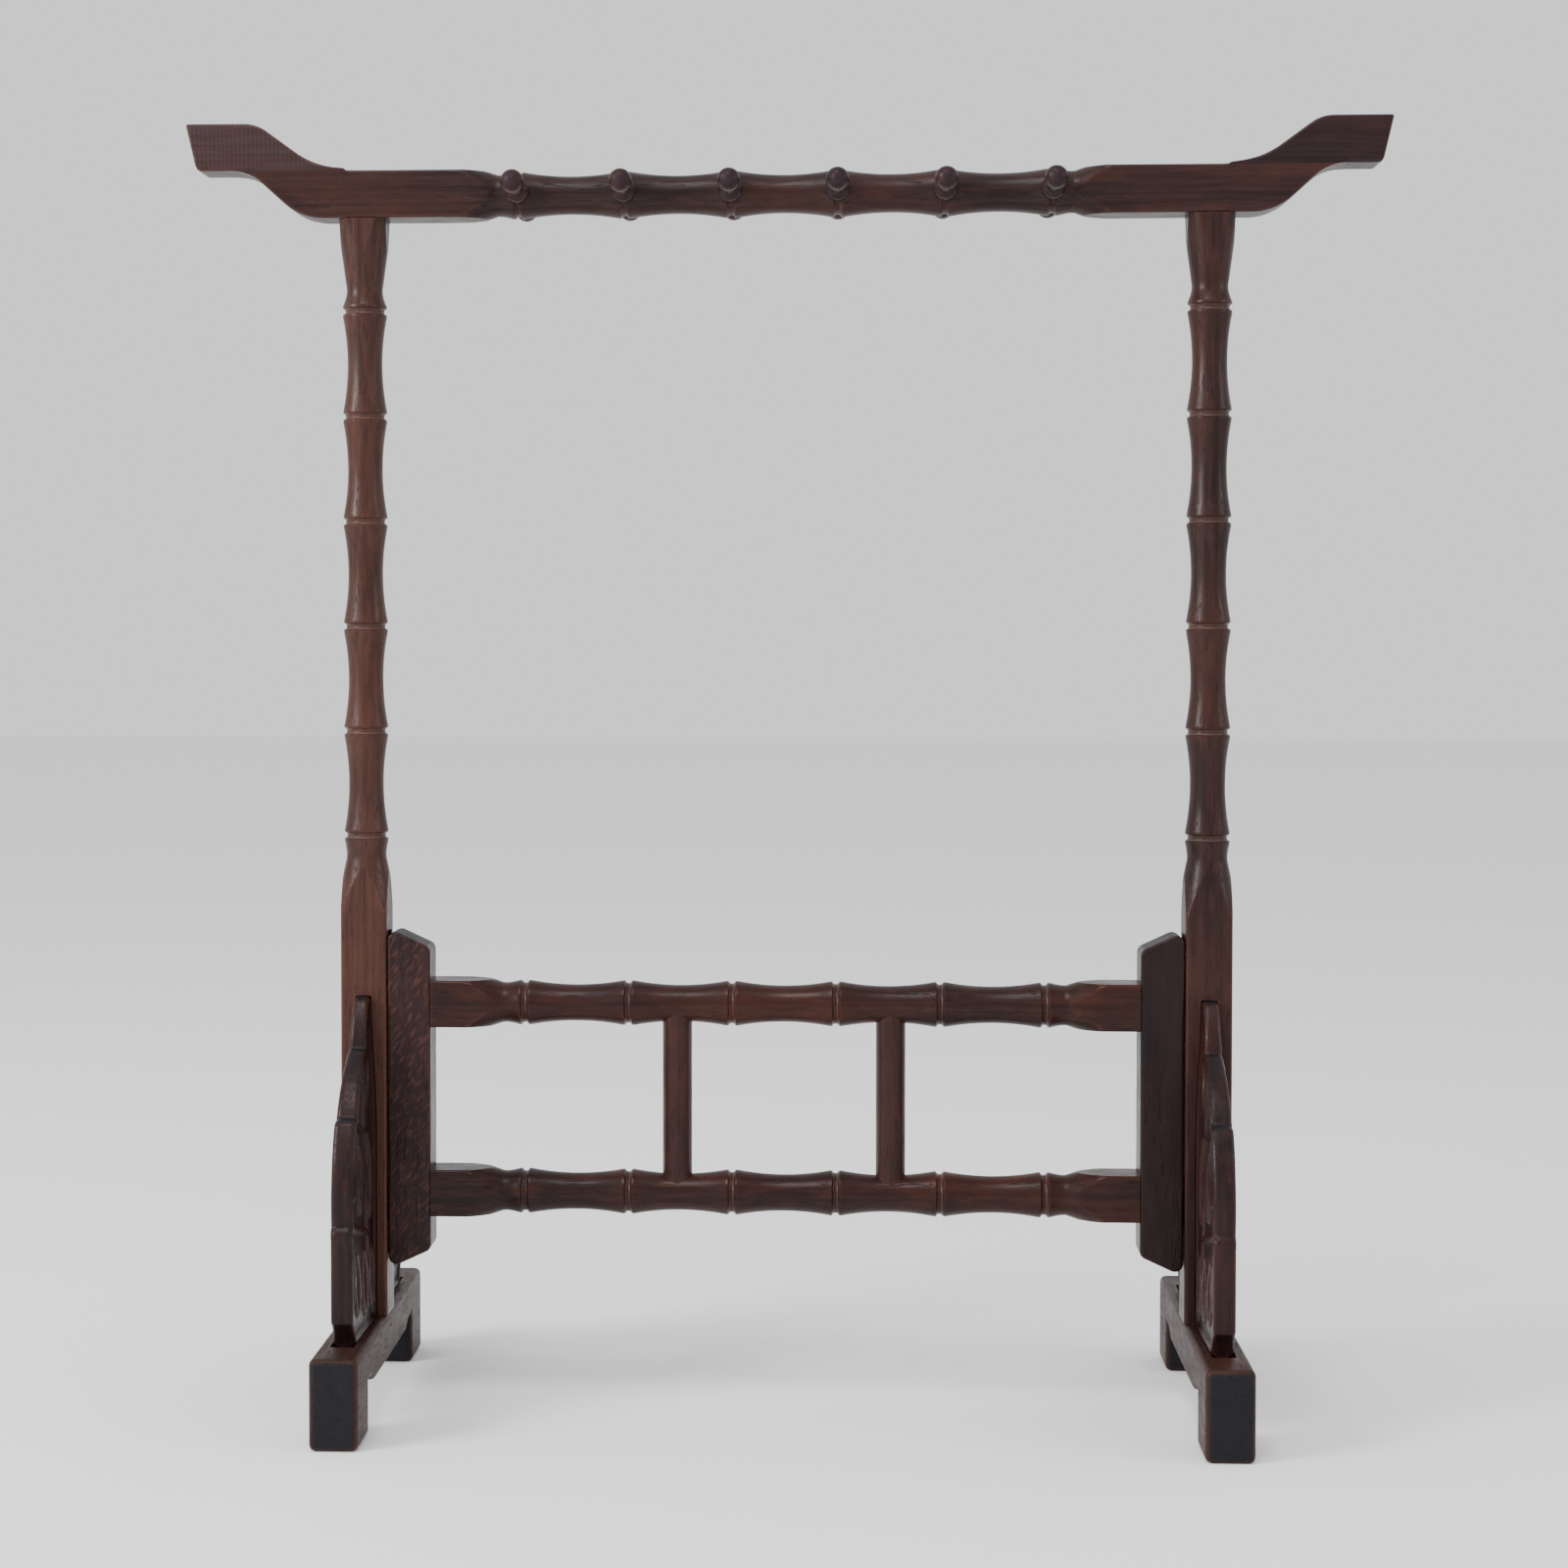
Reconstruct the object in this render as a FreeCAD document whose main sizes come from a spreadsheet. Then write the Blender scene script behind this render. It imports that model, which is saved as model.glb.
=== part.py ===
import FreeCAD, Part
import math
import os
import re
import Sketcher

# A free-standing hanger for writing brushes, in carved hardwood.
# Millimetres. X runs along the beam, -Y is the front, +Z is up, the floor is Z = 0.

SIZES = {
    # overall
    "overall_height": 388.0,      # floor to the top of the upturned tips
    "post_spacing": 255.0,        # between the axes of the posts
    "overhang": 53.5,             # beam tip beyond the axis of its post
    # beam
    "beam_stock": 14.3,           # height and depth of the square
    "beam_pitch": 32.1,           # between two bamboo rings, and so between two pegs
    "beam_rings": 6,
    "beam_node": 7.0,             # radius at a ring
    "beam_waist": 5.7,            # radius midway between two rings
    "beam_neck": 6.2,             # radius of the hollow beside the square end
    "beam_shoulder": 18.0,        # last ring to the full square
    # underside of the beam's end, an ogee from the bottom up to the glued tip
    "under_start": 11.5,          # post axis to the start of the ogee
    "under_slope": 42.0,          # degrees
    "under_inner_round": 17.9,
    "under_outer_round": 13.6,
    # upturned tip
    "tip_height": 14.2,
    "tip_start": 4.8,             # post axis to the inner end of the block
    "tip_step": 0.7,              # thickness of the block at its inner end
    "tip_slope": 36.0,            # degrees
    "tip_inner_round": 26.0,
    "tip_outer_round": 11.5,
    "tip_lean": 3.3,              # how far the end face leans in towards its foot
    # pegs
    "peg_reach": 20.5,            # beam axis to the centre of the head
    "peg_head": 3.45,             # radius of the head
    "peg_stem": 2.2,
    "peg_base": 3.7,
    "peg_base_reach": 10.5,       # beam axis to the front of the flared base
    "peg_tenon": 2.0,
    "peg_slope": 4.0,             # degrees, front heads up and back heads down
    "peg_flare": 2.0,             # length of the flare behind its front
    "peg_flare_round": 0.45,
    "peg_joint_gap": 0.4,         # between the ends of two pegs in one bore
    # posts
    "post_stock": 14.0,
    "post_pitch": 31.8,
    "post_node": 6.65,
    "post_waist": 5.25,
    "post_neck": 6.0,             # hollow below the lowest ring
    "post_collar": 5.4,           # hollow above the highest ring
    "post_top": 8.3,              # turned radius under the beam
    "post_top_ring": 27.7,        # highest ring to the beam
    "post_shoulder": 26.0,        # lowest ring to the full square
    "post_tenon": 8.0,
    "post_top_tenon": 10.0,       # length
    "post_foot_tenon": 9.0,
    # rings, on posts, beam and rails
    "ring_half": 1.7,             # half the plain band at a ring
    "ring_groove": 1.0,           # half the width of the groove in the band
    "ring_cut": 0.8,              # its depth
    "neck_reach": 6.5,            # ring to the hollow of an end
    "band_round": 0.35,           # rise of the rounding from the ring to its band
    "neck_round": 0.5,            # rise of the hollow from the band to the neck
    "corner_room": 0.2,           # how far the turning runs out past the corners of the stock
    # feet
    "foot_length": 127.0,
    "foot_width": 14.2,
    "foot_height": 26.6,
    "foot_arch": 12.5,            # floor to the ceiling of the arch
    "foot_arch_end": 15.5,        # the same, beside a pad
    "foot_pad": 21.0,             # length of a pad
    "arch_flat": 3.0,             # level ceiling beside a pad
    "arch_sweep": 9.0,            # run from there to the lower ceiling
    # spandrels
    "board": 8.0,                 # thickness
    "board_housing": 1.5,         # depth of its grooves in post and foot
    "board_foot": 36.0,           # face of the post to the end of the board's seat on the foot
    "board_reach": 41.0,          # face of the post to the front of the lowest tier
    "board_clip": 6.5,            # height of the cut-off lower corner
    "low_tier": 30.4,             # foot to the knob above the lowest tier
    "knob": 4.5,                  # height of the knob
    "middle_tier": 63.9,          # foot to the top of the middle tier
    "middle_reach": 34.0,
    "high_tier": 81.9,
    "high_reach": 14.5,
    "tier_step": 3.5,             # how far each tier is set back from the one below
    "tier_lip": 1.0,
    "board_height": 97.4,         # foot to the top of the board
    "board_top_reach": 6.0,
    "board_top_drop": 1.5,        # back edge to the front of the top
    "board_top_seat": 1.0,        # level part of the top, beside the post
    "clip_round": 0.8,            # rises of the arcs along the front edge, from the foot up
    "low_round": 1.0,
    "knob_round": 2.4,
    "middle_round": 0.6,
    "middle_step_round": 2.0,
    "high_round": 0.5,
    "high_step_round": 1.0,
    "crest_round": 1.0,
    # railing
    "upper_rail_height": 121.8,   # floor to axis
    "lower_rail_height": 64.1,
    "rail_stock": 14.2,
    "rail_pitch": 31.5,
    "rail_rings": 6,
    "rail_node": 6.8,
    "rail_waist": 5.5,
    "rail_neck": 6.0,
    "rail_shoulder": 19.0,
    "rail_tenon": 7.0,
    "rail_tenon_length": 8.0,
    "spindle_spacing": 64.8,
    "spindle_radius": 4.45,
    "spindle_tenon": 2.6,
    # hook plates and their keys
    "plate_width": 13.0,
    "plate_depth": 14.0,
    "plate_height": 107.0,
    "plate_slope": 6.0,           # drop of the sloping ends
    "plate_round": 2.5,
    "plate_gap": 0.3,             # seam between plate and post
    "key_height": 11.0,
    "key_offset": 33.0,           # from the middle of the plate
    "key_neck": 2.6,              # half width at the face of the post
    "key_tail": 3.9,              # half width at the end of the dovetail
    "key_tail_length": 4.6,
    "key_root_length": 3.6,
    "lift_room": 1.0,             # spare height in the entry of a key slot
    # running clearances
    "slip": 0.15,                 # each side of a sliding tenon or key
    "end_gap": 0.4,               # at the end of a sliding tenon
}

DERIVED = {
    "beam_bottom": "overall_height - tip_height - beam_stock",
    "beam_axis": "beam_bottom + beam_stock / 2",
    "beam_corner": "beam_stock / sqrt(2) + corner_room",
    "post_corner": "post_stock / sqrt(2) + corner_room",
    "rail_corner": "rail_stock / sqrt(2) + corner_room",
    "plate_middle": "(upper_rail_height + lower_rail_height) / 2",
    "plate_top": "plate_middle + plate_height / 2",
    "post_rings": "floor((beam_bottom - post_top_ring - post_shoulder - plate_top) / post_pitch) + 1",
    "post_low_ring": "beam_bottom - post_top_ring - (post_rings - 1) * post_pitch",
    "rail_length": "post_spacing - post_stock - 2 * plate_gap - 2 * plate_width",
    "key_lift": "key_height + lift_room",
    "slot_tail": "key_tail + slip * (1 + (key_tail - key_neck) / key_tail_length)",
    "peg_seat": "sqrt(peg_head ^ 2 - peg_stem ^ 2)",
    "under_foot": "post_spacing / 2 + under_start",
    "under_low_x": "under_foot + under_inner_round * sin(under_slope)",
    "under_low_z": "under_inner_round * (1 - cos(under_slope)) - beam_stock / 2",
    "under_high_z": "beam_stock / 2 - under_outer_round * (1 - cos(under_slope))",
    "under_high_x": "under_low_x + (under_high_z - under_low_z) / tan(under_slope)",
    "under_end_x": "under_high_x + under_outer_round * sin(under_slope)",
    "tip_inner_x": "post_spacing / 2 + tip_start",
    "tip_low_x": "tip_inner_x + tip_inner_round * sin(tip_slope)",
    "tip_low_z": "tip_step + tip_inner_round * (1 - cos(tip_slope))",
    "tip_high_z": "tip_height - tip_outer_round * (1 - cos(tip_slope))",
    "tip_high_x": "tip_low_x + (tip_high_z - tip_low_z) / tan(tip_slope)",
    "tip_top_x": "tip_high_x + tip_outer_round * sin(tip_slope)",
    "tip_end_x": "post_spacing / 2 + overhang",
}

document = FreeCAD.newDocument("brush_hanger")
sheet = document.addObject("Spreadsheet::Sheet", "Sizes")


def fill_sheet():
    """Write every size and every derived size into the sheet, each under its own name."""
    rows = [(word, str(number)) for word, number in SIZES.items()]
    rows += [(word, "=" + formula) for word, formula in DERIVED.items()]
    for row, (word, content) in enumerate(rows, start=1):
        sheet.set(f"A{row}", word)
        sheet.set(f"B{row}", content)
        sheet.setAlias(f"B{row}", word)
    document.recompute()


def bound(formula):
    """The formula as another object writes it, with each size looked up in the sheet."""
    words = set(SIZES) | set(DERIVED)
    return re.sub(r"[a-z_]+", lambda found: "Sizes." + found[0] if found[0] in words else found[0], formula)


def number(formula):
    """The present value of a formula."""
    return float(sheet.evalExpression(formula))


# ---- sketches and features ----

def new_body(label):
    body = document.addObject("PartDesign::Body", label)
    body.Label = label
    return body


def origin_item(body, role):
    return next(item for item in body.Origin.OriginFeatures if item.Role == role)


def new_sketch(body, plane, raise_by="0", turn="0"):
    """An empty sketch on an origin plane, raised along its normal and turned about its own X axis."""
    sketch = body.newObject("Sketcher::SketchObject", body.Name + "_sketch")
    sketch.AttachmentSupport = [(origin_item(body, plane), "")]
    sketch.MapMode = "FlatFace"
    sketch.AttachmentOffset = FreeCAD.Placement(
        FreeCAD.Vector(0, 0, number(raise_by)), FreeCAD.Rotation(FreeCAD.Vector(1, 0, 0), number(turn)))
    if raise_by != "0":
        sketch.setExpression("AttachmentOffset.Base.z", bound(raise_by))
    if turn != "0":
        sketch.setExpression("AttachmentOffset.Rotation.Angle", bound(turn))
    return sketch


def bind(sketch, kind, *where, formula):
    """A dimension of the sketch that follows a formula."""
    index = sketch.addConstraint(Sketcher.Constraint(kind, *where, number(formula)))
    sketch.renameConstraint(index, f"size_{index}")
    sketch.setExpression(f"Constraints.size_{index}", bound(formula))


def arc_radius(start, end, rise):
    across = f"(({end[0]}) - ({start[0]}))"
    up = f"(({end[1]}) - ({start[1]}))"
    return f"(({across} ^ 2 + {up} ^ 2) / 4 + ({rise}) ^ 2) / (2 * abs({rise}))"


def edge_between(start, end, rise):
    """A line, or an arc that stands out by rise to the left of the way from start to end.

    Returns the edge and which of its ends is the start: 1 or 2.
    """
    first = FreeCAD.Vector(number(start[0]), number(start[1]), 0)
    last = FreeCAD.Vector(number(end[0]), number(end[1]), 0)
    if rise is None:
        return Part.LineSegment(first, last), 1
    chord = last - first
    left = FreeCAD.Vector(-chord.y, chord.x, 0).normalize()
    height = number(rise)
    radius = number(arc_radius(start, end, rise))
    centre = (first + last) / 2 + left * (height - math.copysign(radius, height))
    angles = [math.atan2(point.y - centre.y, point.x - centre.x) for point in (first, last)]
    if height > 0:
        angles.reverse()
    if angles[1] < angles[0]:
        angles[1] += 2 * math.pi
    circle = Part.Circle(centre, FreeCAD.Vector(0, 0, 1), radius)
    return Part.ArcOfCircle(circle, angles[0], angles[1]), 2 if height > 0 else 1


def draw(sketch, corners):
    """Close an outline through corners (across, up) or (across, up, rise of the arc to the next)."""
    ends = []
    first_edge = len(sketch.Geometry)
    for index, corner in enumerate(corners):
        following = corners[(index + 1) % len(corners)]
        rise = corner[2] if len(corner) == 3 else None
        edge, start_end = edge_between(corner, following, rise)
        sketch.addGeometry(edge)
        ends.append(start_end)
    for index, corner in enumerate(corners):
        edge = first_edge + index
        after = (index + 1) % len(corners)
        sketch.addConstraint(Sketcher.Constraint(
            "Coincident", edge, 3 - ends[index], first_edge + after, ends[after]))
        for kind, axis, formula in (("DistanceX", -2, corner[0]), ("DistanceY", -1, corner[1])):
            if formula == "0":
                sketch.addConstraint(Sketcher.Constraint("PointOnObject", edge, ends[index], axis))
            else:
                bind(sketch, kind, -1, 1, edge, ends[index], formula=formula)
    for index, corner in enumerate(corners):
        if len(corner) == 3:
            following = corners[(index + 1) % len(corners)]
            bind(sketch, "Radius", first_edge + index, formula=arc_radius(corner, following, corner[2]))


def draw_circle(sketch, across, up, radius):
    centre = FreeCAD.Vector(number(across), number(up), 0)
    edge = sketch.addGeometry(Part.Circle(centre, FreeCAD.Vector(0, 0, 1), number(radius)))
    for kind, axis, formula in (("DistanceX", -2, across), ("DistanceY", -1, up)):
        if formula == "0":
            sketch.addConstraint(Sketcher.Constraint("PointOnObject", edge, 3, axis))
        else:
            bind(sketch, kind, -1, 1, edge, 3, formula=formula)
    bind(sketch, "Radius", edge, formula=radius)


def rectangle(half_across, low, high):
    return [(f"-({half_across})", low), (half_across, low), (half_across, high), (f"-({half_across})", high)]


def extrude(body, kind, sketch, length, both_ways=True, reverse=False):
    """A Pad or a Pocket of the given length."""
    feature = body.newObject("PartDesign::" + kind, f"{body.Name}_{kind.lower()}")
    feature.Profile = sketch
    feature.Length = number(length)
    feature.setExpression("Length", bound(length))
    feature.SideType = "Symmetric" if both_ways else "One side"
    feature.Reversed = reverse
    return feature


def turn_away(body, sketch, axis):
    """Turn the sketched outline off the work, about the sketch's horizontal or vertical axis."""
    groove = body.newObject("PartDesign::Groove", body.Name + "_groove")
    groove.Profile = sketch
    groove.ReferenceAxis = (sketch, [axis])
    groove.Angle = 360
    return groove


def repeat(body, features, axis, pitch, count):
    pattern = body.newObject("PartDesign::LinearPattern", body.Name + "_row")
    pattern.Originals = features
    pattern.Direction = (origin_item(body, axis), [""])
    pattern.Mode = "Spacing"
    pattern.setExpression("Offset", bound(pitch))
    pattern.setExpression("Occurrences", bound(count))
    body.Tip = pattern
    return pattern


def mirror(body, features, plane):
    copy = body.newObject("PartDesign::Mirrored", body.Name + "_mirror")
    copy.Originals = features
    copy.MirrorPlane = (origin_item(body, plane), [""])
    body.Tip = copy
    return copy


def place(body, across="0", depth="0", up="0", half_turn=False):
    """Put the body at a place that follows the sizes, turned half round Z if asked."""
    if half_turn:
        body.Placement = FreeCAD.Placement(FreeCAD.Vector(), FreeCAD.Rotation(FreeCAD.Vector(0, 0, 1), 180))
    for letter, formula in (("x", across), ("y", depth), ("z", up)):
        body.setExpression("Placement.Base." + letter, bound(formula))
    return body


# ---- bamboo turning, shared by the posts, the beam and the rails ----

def turned(body, upright, corners):
    """Turn away an outline given as (along the work, radius, rise of the arc to the next)."""
    if upright:
        corners = [(corner[1], corner[0], *(f"-({rise})" for rise in corner[2:])) for corner in corners]
    sketch = new_sketch(body, "XZ_Plane")
    draw(sketch, corners)
    return turn_away(body, sketch, "V_Axis" if upright else "H_Axis")


def turn_bamboo(body, kind, low_ring, count, upright):
    """Rings with hollows between them, from the lowest ring along the body's own axis."""
    outside = f"{kind}_stock"
    node, waist, pitch = f"{kind}_node", f"{kind}_waist", f"{kind}_pitch"
    axis = "Z_Axis" if upright else "X_Axis"
    start, end = f"{low_ring} + ring_half", f"{low_ring} + {pitch} - ring_half"
    hollow = turned(body, upright, [
        (low_ring, node), (start, node, f"-({node} - {waist})"), (end, node),
        (f"{low_ring} + {pitch}", node), (f"{low_ring} + {pitch}", outside), (low_ring, outside)])
    repeat(body, [hollow], axis, pitch, f"{count} - 1")
    ring = turned(body, upright, [
        (f"{low_ring} - ring_groove", node, "-ring_cut"), (f"{low_ring} + ring_groove", node),
        (f"{low_ring} + ring_groove", outside), (f"{low_ring} - ring_groove", outside)])
    repeat(body, [ring], axis, pitch, count)


def turn_end(body, kind, ring, way, neck, last_radius, length, upright):
    """Run out of the bamboo from a ring to the end of the turning; way is 1 or -1 along the axis."""
    sign = "+" if way > 0 else "-"
    rise = "-" if way > 0 else ""
    node, outside = f"{kind}_node", f"{kind}_stock"
    return turned(body, upright, [
        (ring, node), (f"{ring} {sign} ring_half", node, f"{rise}band_round"),
        (f"{ring} {sign} neck_reach", neck, f"{rise}neck_round"),
        (f"{ring} {sign} {length}", last_radius), (f"{ring} {sign} {length}", outside), (ring, outside)])


# ---- beam, tips and pegs ----

def make_beam():
    """The hanging bar, built about its own axis."""
    body = new_body("beam")
    low, top = "-beam_stock / 2", "beam_stock / 2"
    inner = "under_inner_round * (1 - cos(under_slope / 2))"
    outer = "under_outer_round * (1 - cos(under_slope / 2))"
    side = new_sketch(body, "XZ_Plane")
    draw(side, [
        ("-under_foot", low), ("under_foot", low, f"-{inner}"),
        ("under_low_x", "under_low_z"), ("under_high_x", "under_high_z", outer), ("under_end_x", top),
        ("-under_end_x", top, outer), ("-under_high_x", "under_high_z"),
        ("-under_low_x", "under_low_z", f"-{inner}")])
    extrude(body, "Pad", side, "beam_stock")

    last_ring = "beam_pitch * (beam_rings - 1) / 2"
    turn_bamboo(body, "beam", f"-{last_ring}", "beam_rings", upright=False)
    end = turn_end(body, "beam", last_ring, 1, "beam_neck", "beam_corner", "beam_shoulder",
                   upright=False)
    mirror(body, [end], "YZ_Plane")

    half = "(post_tenon / 2 + slip)"
    mortises = new_sketch(body, "XY_Plane", raise_by=low)
    for sign in ("-", ""):
        middle = f"{sign}post_spacing / 2"
        draw(mortises, [(f"{middle} - {half}", f"-{half}"), (f"{middle} + {half}", f"-{half}"),
                        (f"{middle} + {half}", half), (f"{middle} - {half}", half)])
    extrude(body, "Pocket", mortises, "post_top_tenon + end_gap", both_ways=False, reverse=True)

    bore = new_sketch(body, "XZ_Plane", turn="-peg_slope")
    draw_circle(bore, f"-{last_ring}", "0", "peg_tenon")
    hole = extrude(body, "Pocket", bore, "3 * beam_stock")
    repeat(body, [hole], "X_Axis", "beam_pitch", "beam_rings")
    return place(body, up="beam_axis")


def make_tip(label, left):
    """An upturned end, glued on the beam. Built with its own X running outwards."""
    body = new_body(label)
    inner = "tip_inner_round * (1 - cos(tip_slope / 2))"
    outer = "tip_outer_round * (1 - cos(tip_slope / 2))"
    side = new_sketch(body, "XZ_Plane")
    draw(side, [
        ("tip_inner_x", "0"), ("tip_end_x - tip_lean", "0"), ("tip_end_x", "tip_height"),
        ("tip_top_x", "tip_height", outer), ("tip_high_x", "tip_high_z"),
        ("tip_low_x", "tip_low_z", f"-{inner}"), ("tip_inner_x", "tip_step")])
    extrude(body, "Pad", side, "beam_stock")
    return place(body, up="beam_bottom + beam_stock", half_turn=left)


def make_peg(label, beam, index, front):
    """A turned peg whose base is scribed to the beam and whose tenon fills its half of the bore."""
    blank = new_body(label + "_blank")
    outline = new_sketch(blank, "XY_Plane")
    head = "-(peg_head - sqrt((peg_stem / 2) ^ 2 + ((peg_head - peg_seat) / 2) ^ 2))"
    draw(outline, [
        ("0", "peg_joint_gap / 2"), ("peg_base", "peg_joint_gap / 2"),
        ("peg_base", "peg_base_reach - peg_flare", "-peg_flare_round"), ("peg_stem", "peg_base_reach"),
        ("peg_stem", "peg_reach - peg_seat", head), ("0", "peg_reach + peg_head")])
    turning = blank.newObject("PartDesign::Revolution", label + "_turning")
    turning.Profile = outline
    turning.ReferenceAxis = (outline, ["V_Axis"])
    turning.Angle = 360
    turn = "180 - peg_slope" if front else "-peg_slope"
    blank.Placement = FreeCAD.Placement(
        FreeCAD.Vector(), FreeCAD.Rotation(FreeCAD.Vector(1, 0, 0), number(turn)))
    blank.setExpression("Placement.Rotation.Angle", bound(turn))
    place(blank, across=f"({index} - (beam_rings - 1) / 2) * beam_pitch", up="beam_axis")
    return cut(label, blank, beam)


def cut(label, base, tool):
    piece = document.addObject("Part::Cut", label)
    piece.Label = label
    piece.Base = base
    piece.Tool = tool
    return piece


# ---- end frames: posts, feet and spandrels ----

def make_post(label, left):
    """A post, built with the face for the hook plate towards +X."""
    body = new_body(label)
    blank = new_sketch(body, "XY_Plane", raise_by="foot_height")
    draw(blank, rectangle("post_stock / 2", "-post_stock / 2", "post_stock / 2"))
    extrude(body, "Pad", blank, "beam_bottom - foot_height", both_ways=False)

    turn_bamboo(body, "post", "post_low_ring", "post_rings", upright=True)
    turn_end(body, "post", "post_low_ring", -1, "post_neck", "post_corner", "post_shoulder",
             upright=True)
    turn_end(body, "post", "(beam_bottom - post_top_ring)", 1, "post_collar", "post_top", "post_top_ring",
             upright=True)

    square = rectangle("post_tenon / 2", "-post_tenon / 2", "post_tenon / 2")
    for foot_of_tenon, length in (("beam_bottom", "post_top_tenon"),
                                  ("foot_height - post_foot_tenon", "post_foot_tenon")):
        tenon = new_sketch(body, "XY_Plane", raise_by=foot_of_tenon)
        draw(tenon, square)
        extrude(body, "Pad", tenon, length, both_ways=False)

    housing = new_sketch(body, "XY_Plane", raise_by="foot_height")
    inside, outside = "post_stock / 2 - board_housing", "post_stock / 2 + 1"
    draw(housing, rectangle("board / 2", inside, outside))
    draw(housing, rectangle("board / 2", f"-({outside})", f"-({inside})"))
    extrude(body, "Pocket", housing, "board_height", both_ways=False, reverse=True)

    face, end = "post_stock / 2", "post_stock / 2 - key_tail_length - slip"
    key_foot = "plate_middle - key_offset - key_height / 2"
    slot = new_sketch(body, "XY_Plane", raise_by=key_foot)
    mouth = "key_neck + slip"
    draw(slot, [(end, "-slot_tail"), (face, f"-({mouth})"), (f"{face} + 1", f"-({mouth})"),
                (f"{face} + 1", mouth), (face, mouth), (end, "slot_tail")])
    undercut = extrude(body, "Pocket", slot, "key_height + slip", both_ways=False, reverse=True)
    entry = new_sketch(body, "XY_Plane", raise_by=f"{key_foot} + key_height + slip")
    draw(entry, [(end, "-slot_tail"), (f"{face} + 1", "-slot_tail"),
                 (f"{face} + 1", "slot_tail"), (end, "slot_tail")])
    wide = extrude(body, "Pocket", entry, "key_lift + slip", both_ways=False, reverse=True)
    repeat(body, [undercut, wide], "Z_Axis", "2 * key_offset", "2")
    return place(body, across=("-" if left else "") + "post_spacing / 2", half_turn=not left)


def make_foot(label, left):
    """A sledge foot with a low arch between its two pads."""
    body = new_body(label)
    end, pad = "foot_length / 2", "(foot_length / 2 - foot_pad)"
    sweep = "(foot_arch_end - foot_arch) / 4"
    side = new_sketch(body, "YZ_Plane")
    draw(side, [
        (end, "0"), (end, "foot_height"), (f"-{end}", "foot_height"), (f"-{end}", "0"), (f"-{pad}", "0"),
        (f"-{pad}", "foot_arch_end"), (f"-{pad} + arch_flat", "foot_arch_end", sweep),
        (f"-{pad} + arch_flat + arch_sweep", "foot_arch"),
        (f"{pad} - arch_flat - arch_sweep", "foot_arch", sweep),
        (f"{pad} - arch_flat", "foot_arch_end"), (pad, "foot_arch_end"), (pad, "0")])
    extrude(body, "Pad", side, "foot_width")
    top = new_sketch(body, "XY_Plane", raise_by="foot_height")
    draw(top, rectangle("post_tenon / 2", "-post_tenon / 2", "post_tenon / 2"))
    extrude(body, "Pocket", top, "post_foot_tenon", both_ways=False)
    seats = new_sketch(body, "XY_Plane", raise_by="foot_height")
    near, far = "post_stock / 2 - board_housing", "post_stock / 2 + board_reach"
    draw(seats, rectangle("board / 2", near, far))
    draw(seats, rectangle("board / 2", f"-({far})", f"-({near})"))
    extrude(body, "Pocket", seats, "board_housing", both_ways=False)
    return place(body, across=("-" if left else "") + "post_spacing / 2")


LEAVES = [                        # lower tip, upper tip and half width of each pierced leaf
    (("6", "6"), ("8", "22"), "2.7"),
    (("17", "6"), ("20", "23"), "2.8"),
    (("29", "8"), ("32", "24"), "2.4"),
    (("9", "33"), ("13", "57"), "3"),
    (("24", "37"), ("27", "55"), "2.5"),
    (("15", "67"), ("9", "79"), "1.8"),
]


def make_spandrel(label, left, front):
    """A pierced board, built from the face of its post (Y = 0) and the top of its foot (Z = 0)."""
    body = new_body(label)
    sunk = "-board_housing"
    side = new_sketch(body, "YZ_Plane")
    draw(side, [
        (sunk, sunk), ("board_foot", sunk), ("board_foot", "0", "clip_round"),
        ("board_reach", "board_clip"), ("board_reach", "low_tier", "-low_round"),
        ("board_reach - tier_lip", "low_tier + knob", "-knob_round"),
        ("middle_reach", "middle_tier", "-middle_round"),
        ("middle_reach - tier_step", "middle_tier + tier_lip", "-middle_step_round"),
        ("high_reach", "high_tier", "-high_round"),
        ("high_reach - tier_step", "high_tier + tier_lip", "-high_step_round"),
        ("board_top_reach", "board_height - board_top_drop", "-crest_round"),
        ("board_top_seat", "board_height"), (sunk, "board_height")])
    extrude(body, "Pad", side, "board")
    leaves = new_sketch(body, "YZ_Plane")
    for low, high, half_width in LEAVES:
        draw(leaves, [(*low, f"-{half_width}"), (*high, f"-{half_width}")])
    extrude(body, "Pocket", leaves, "2 * board")
    across = ("-" if left else "") + "post_spacing / 2"
    depth = ("-" if front else "") + "post_stock / 2"
    return place(body, across=across, depth=depth, up="foot_height", half_turn=front)


# ---- railing: rails, spindles, hook plates and keys ----

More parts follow.
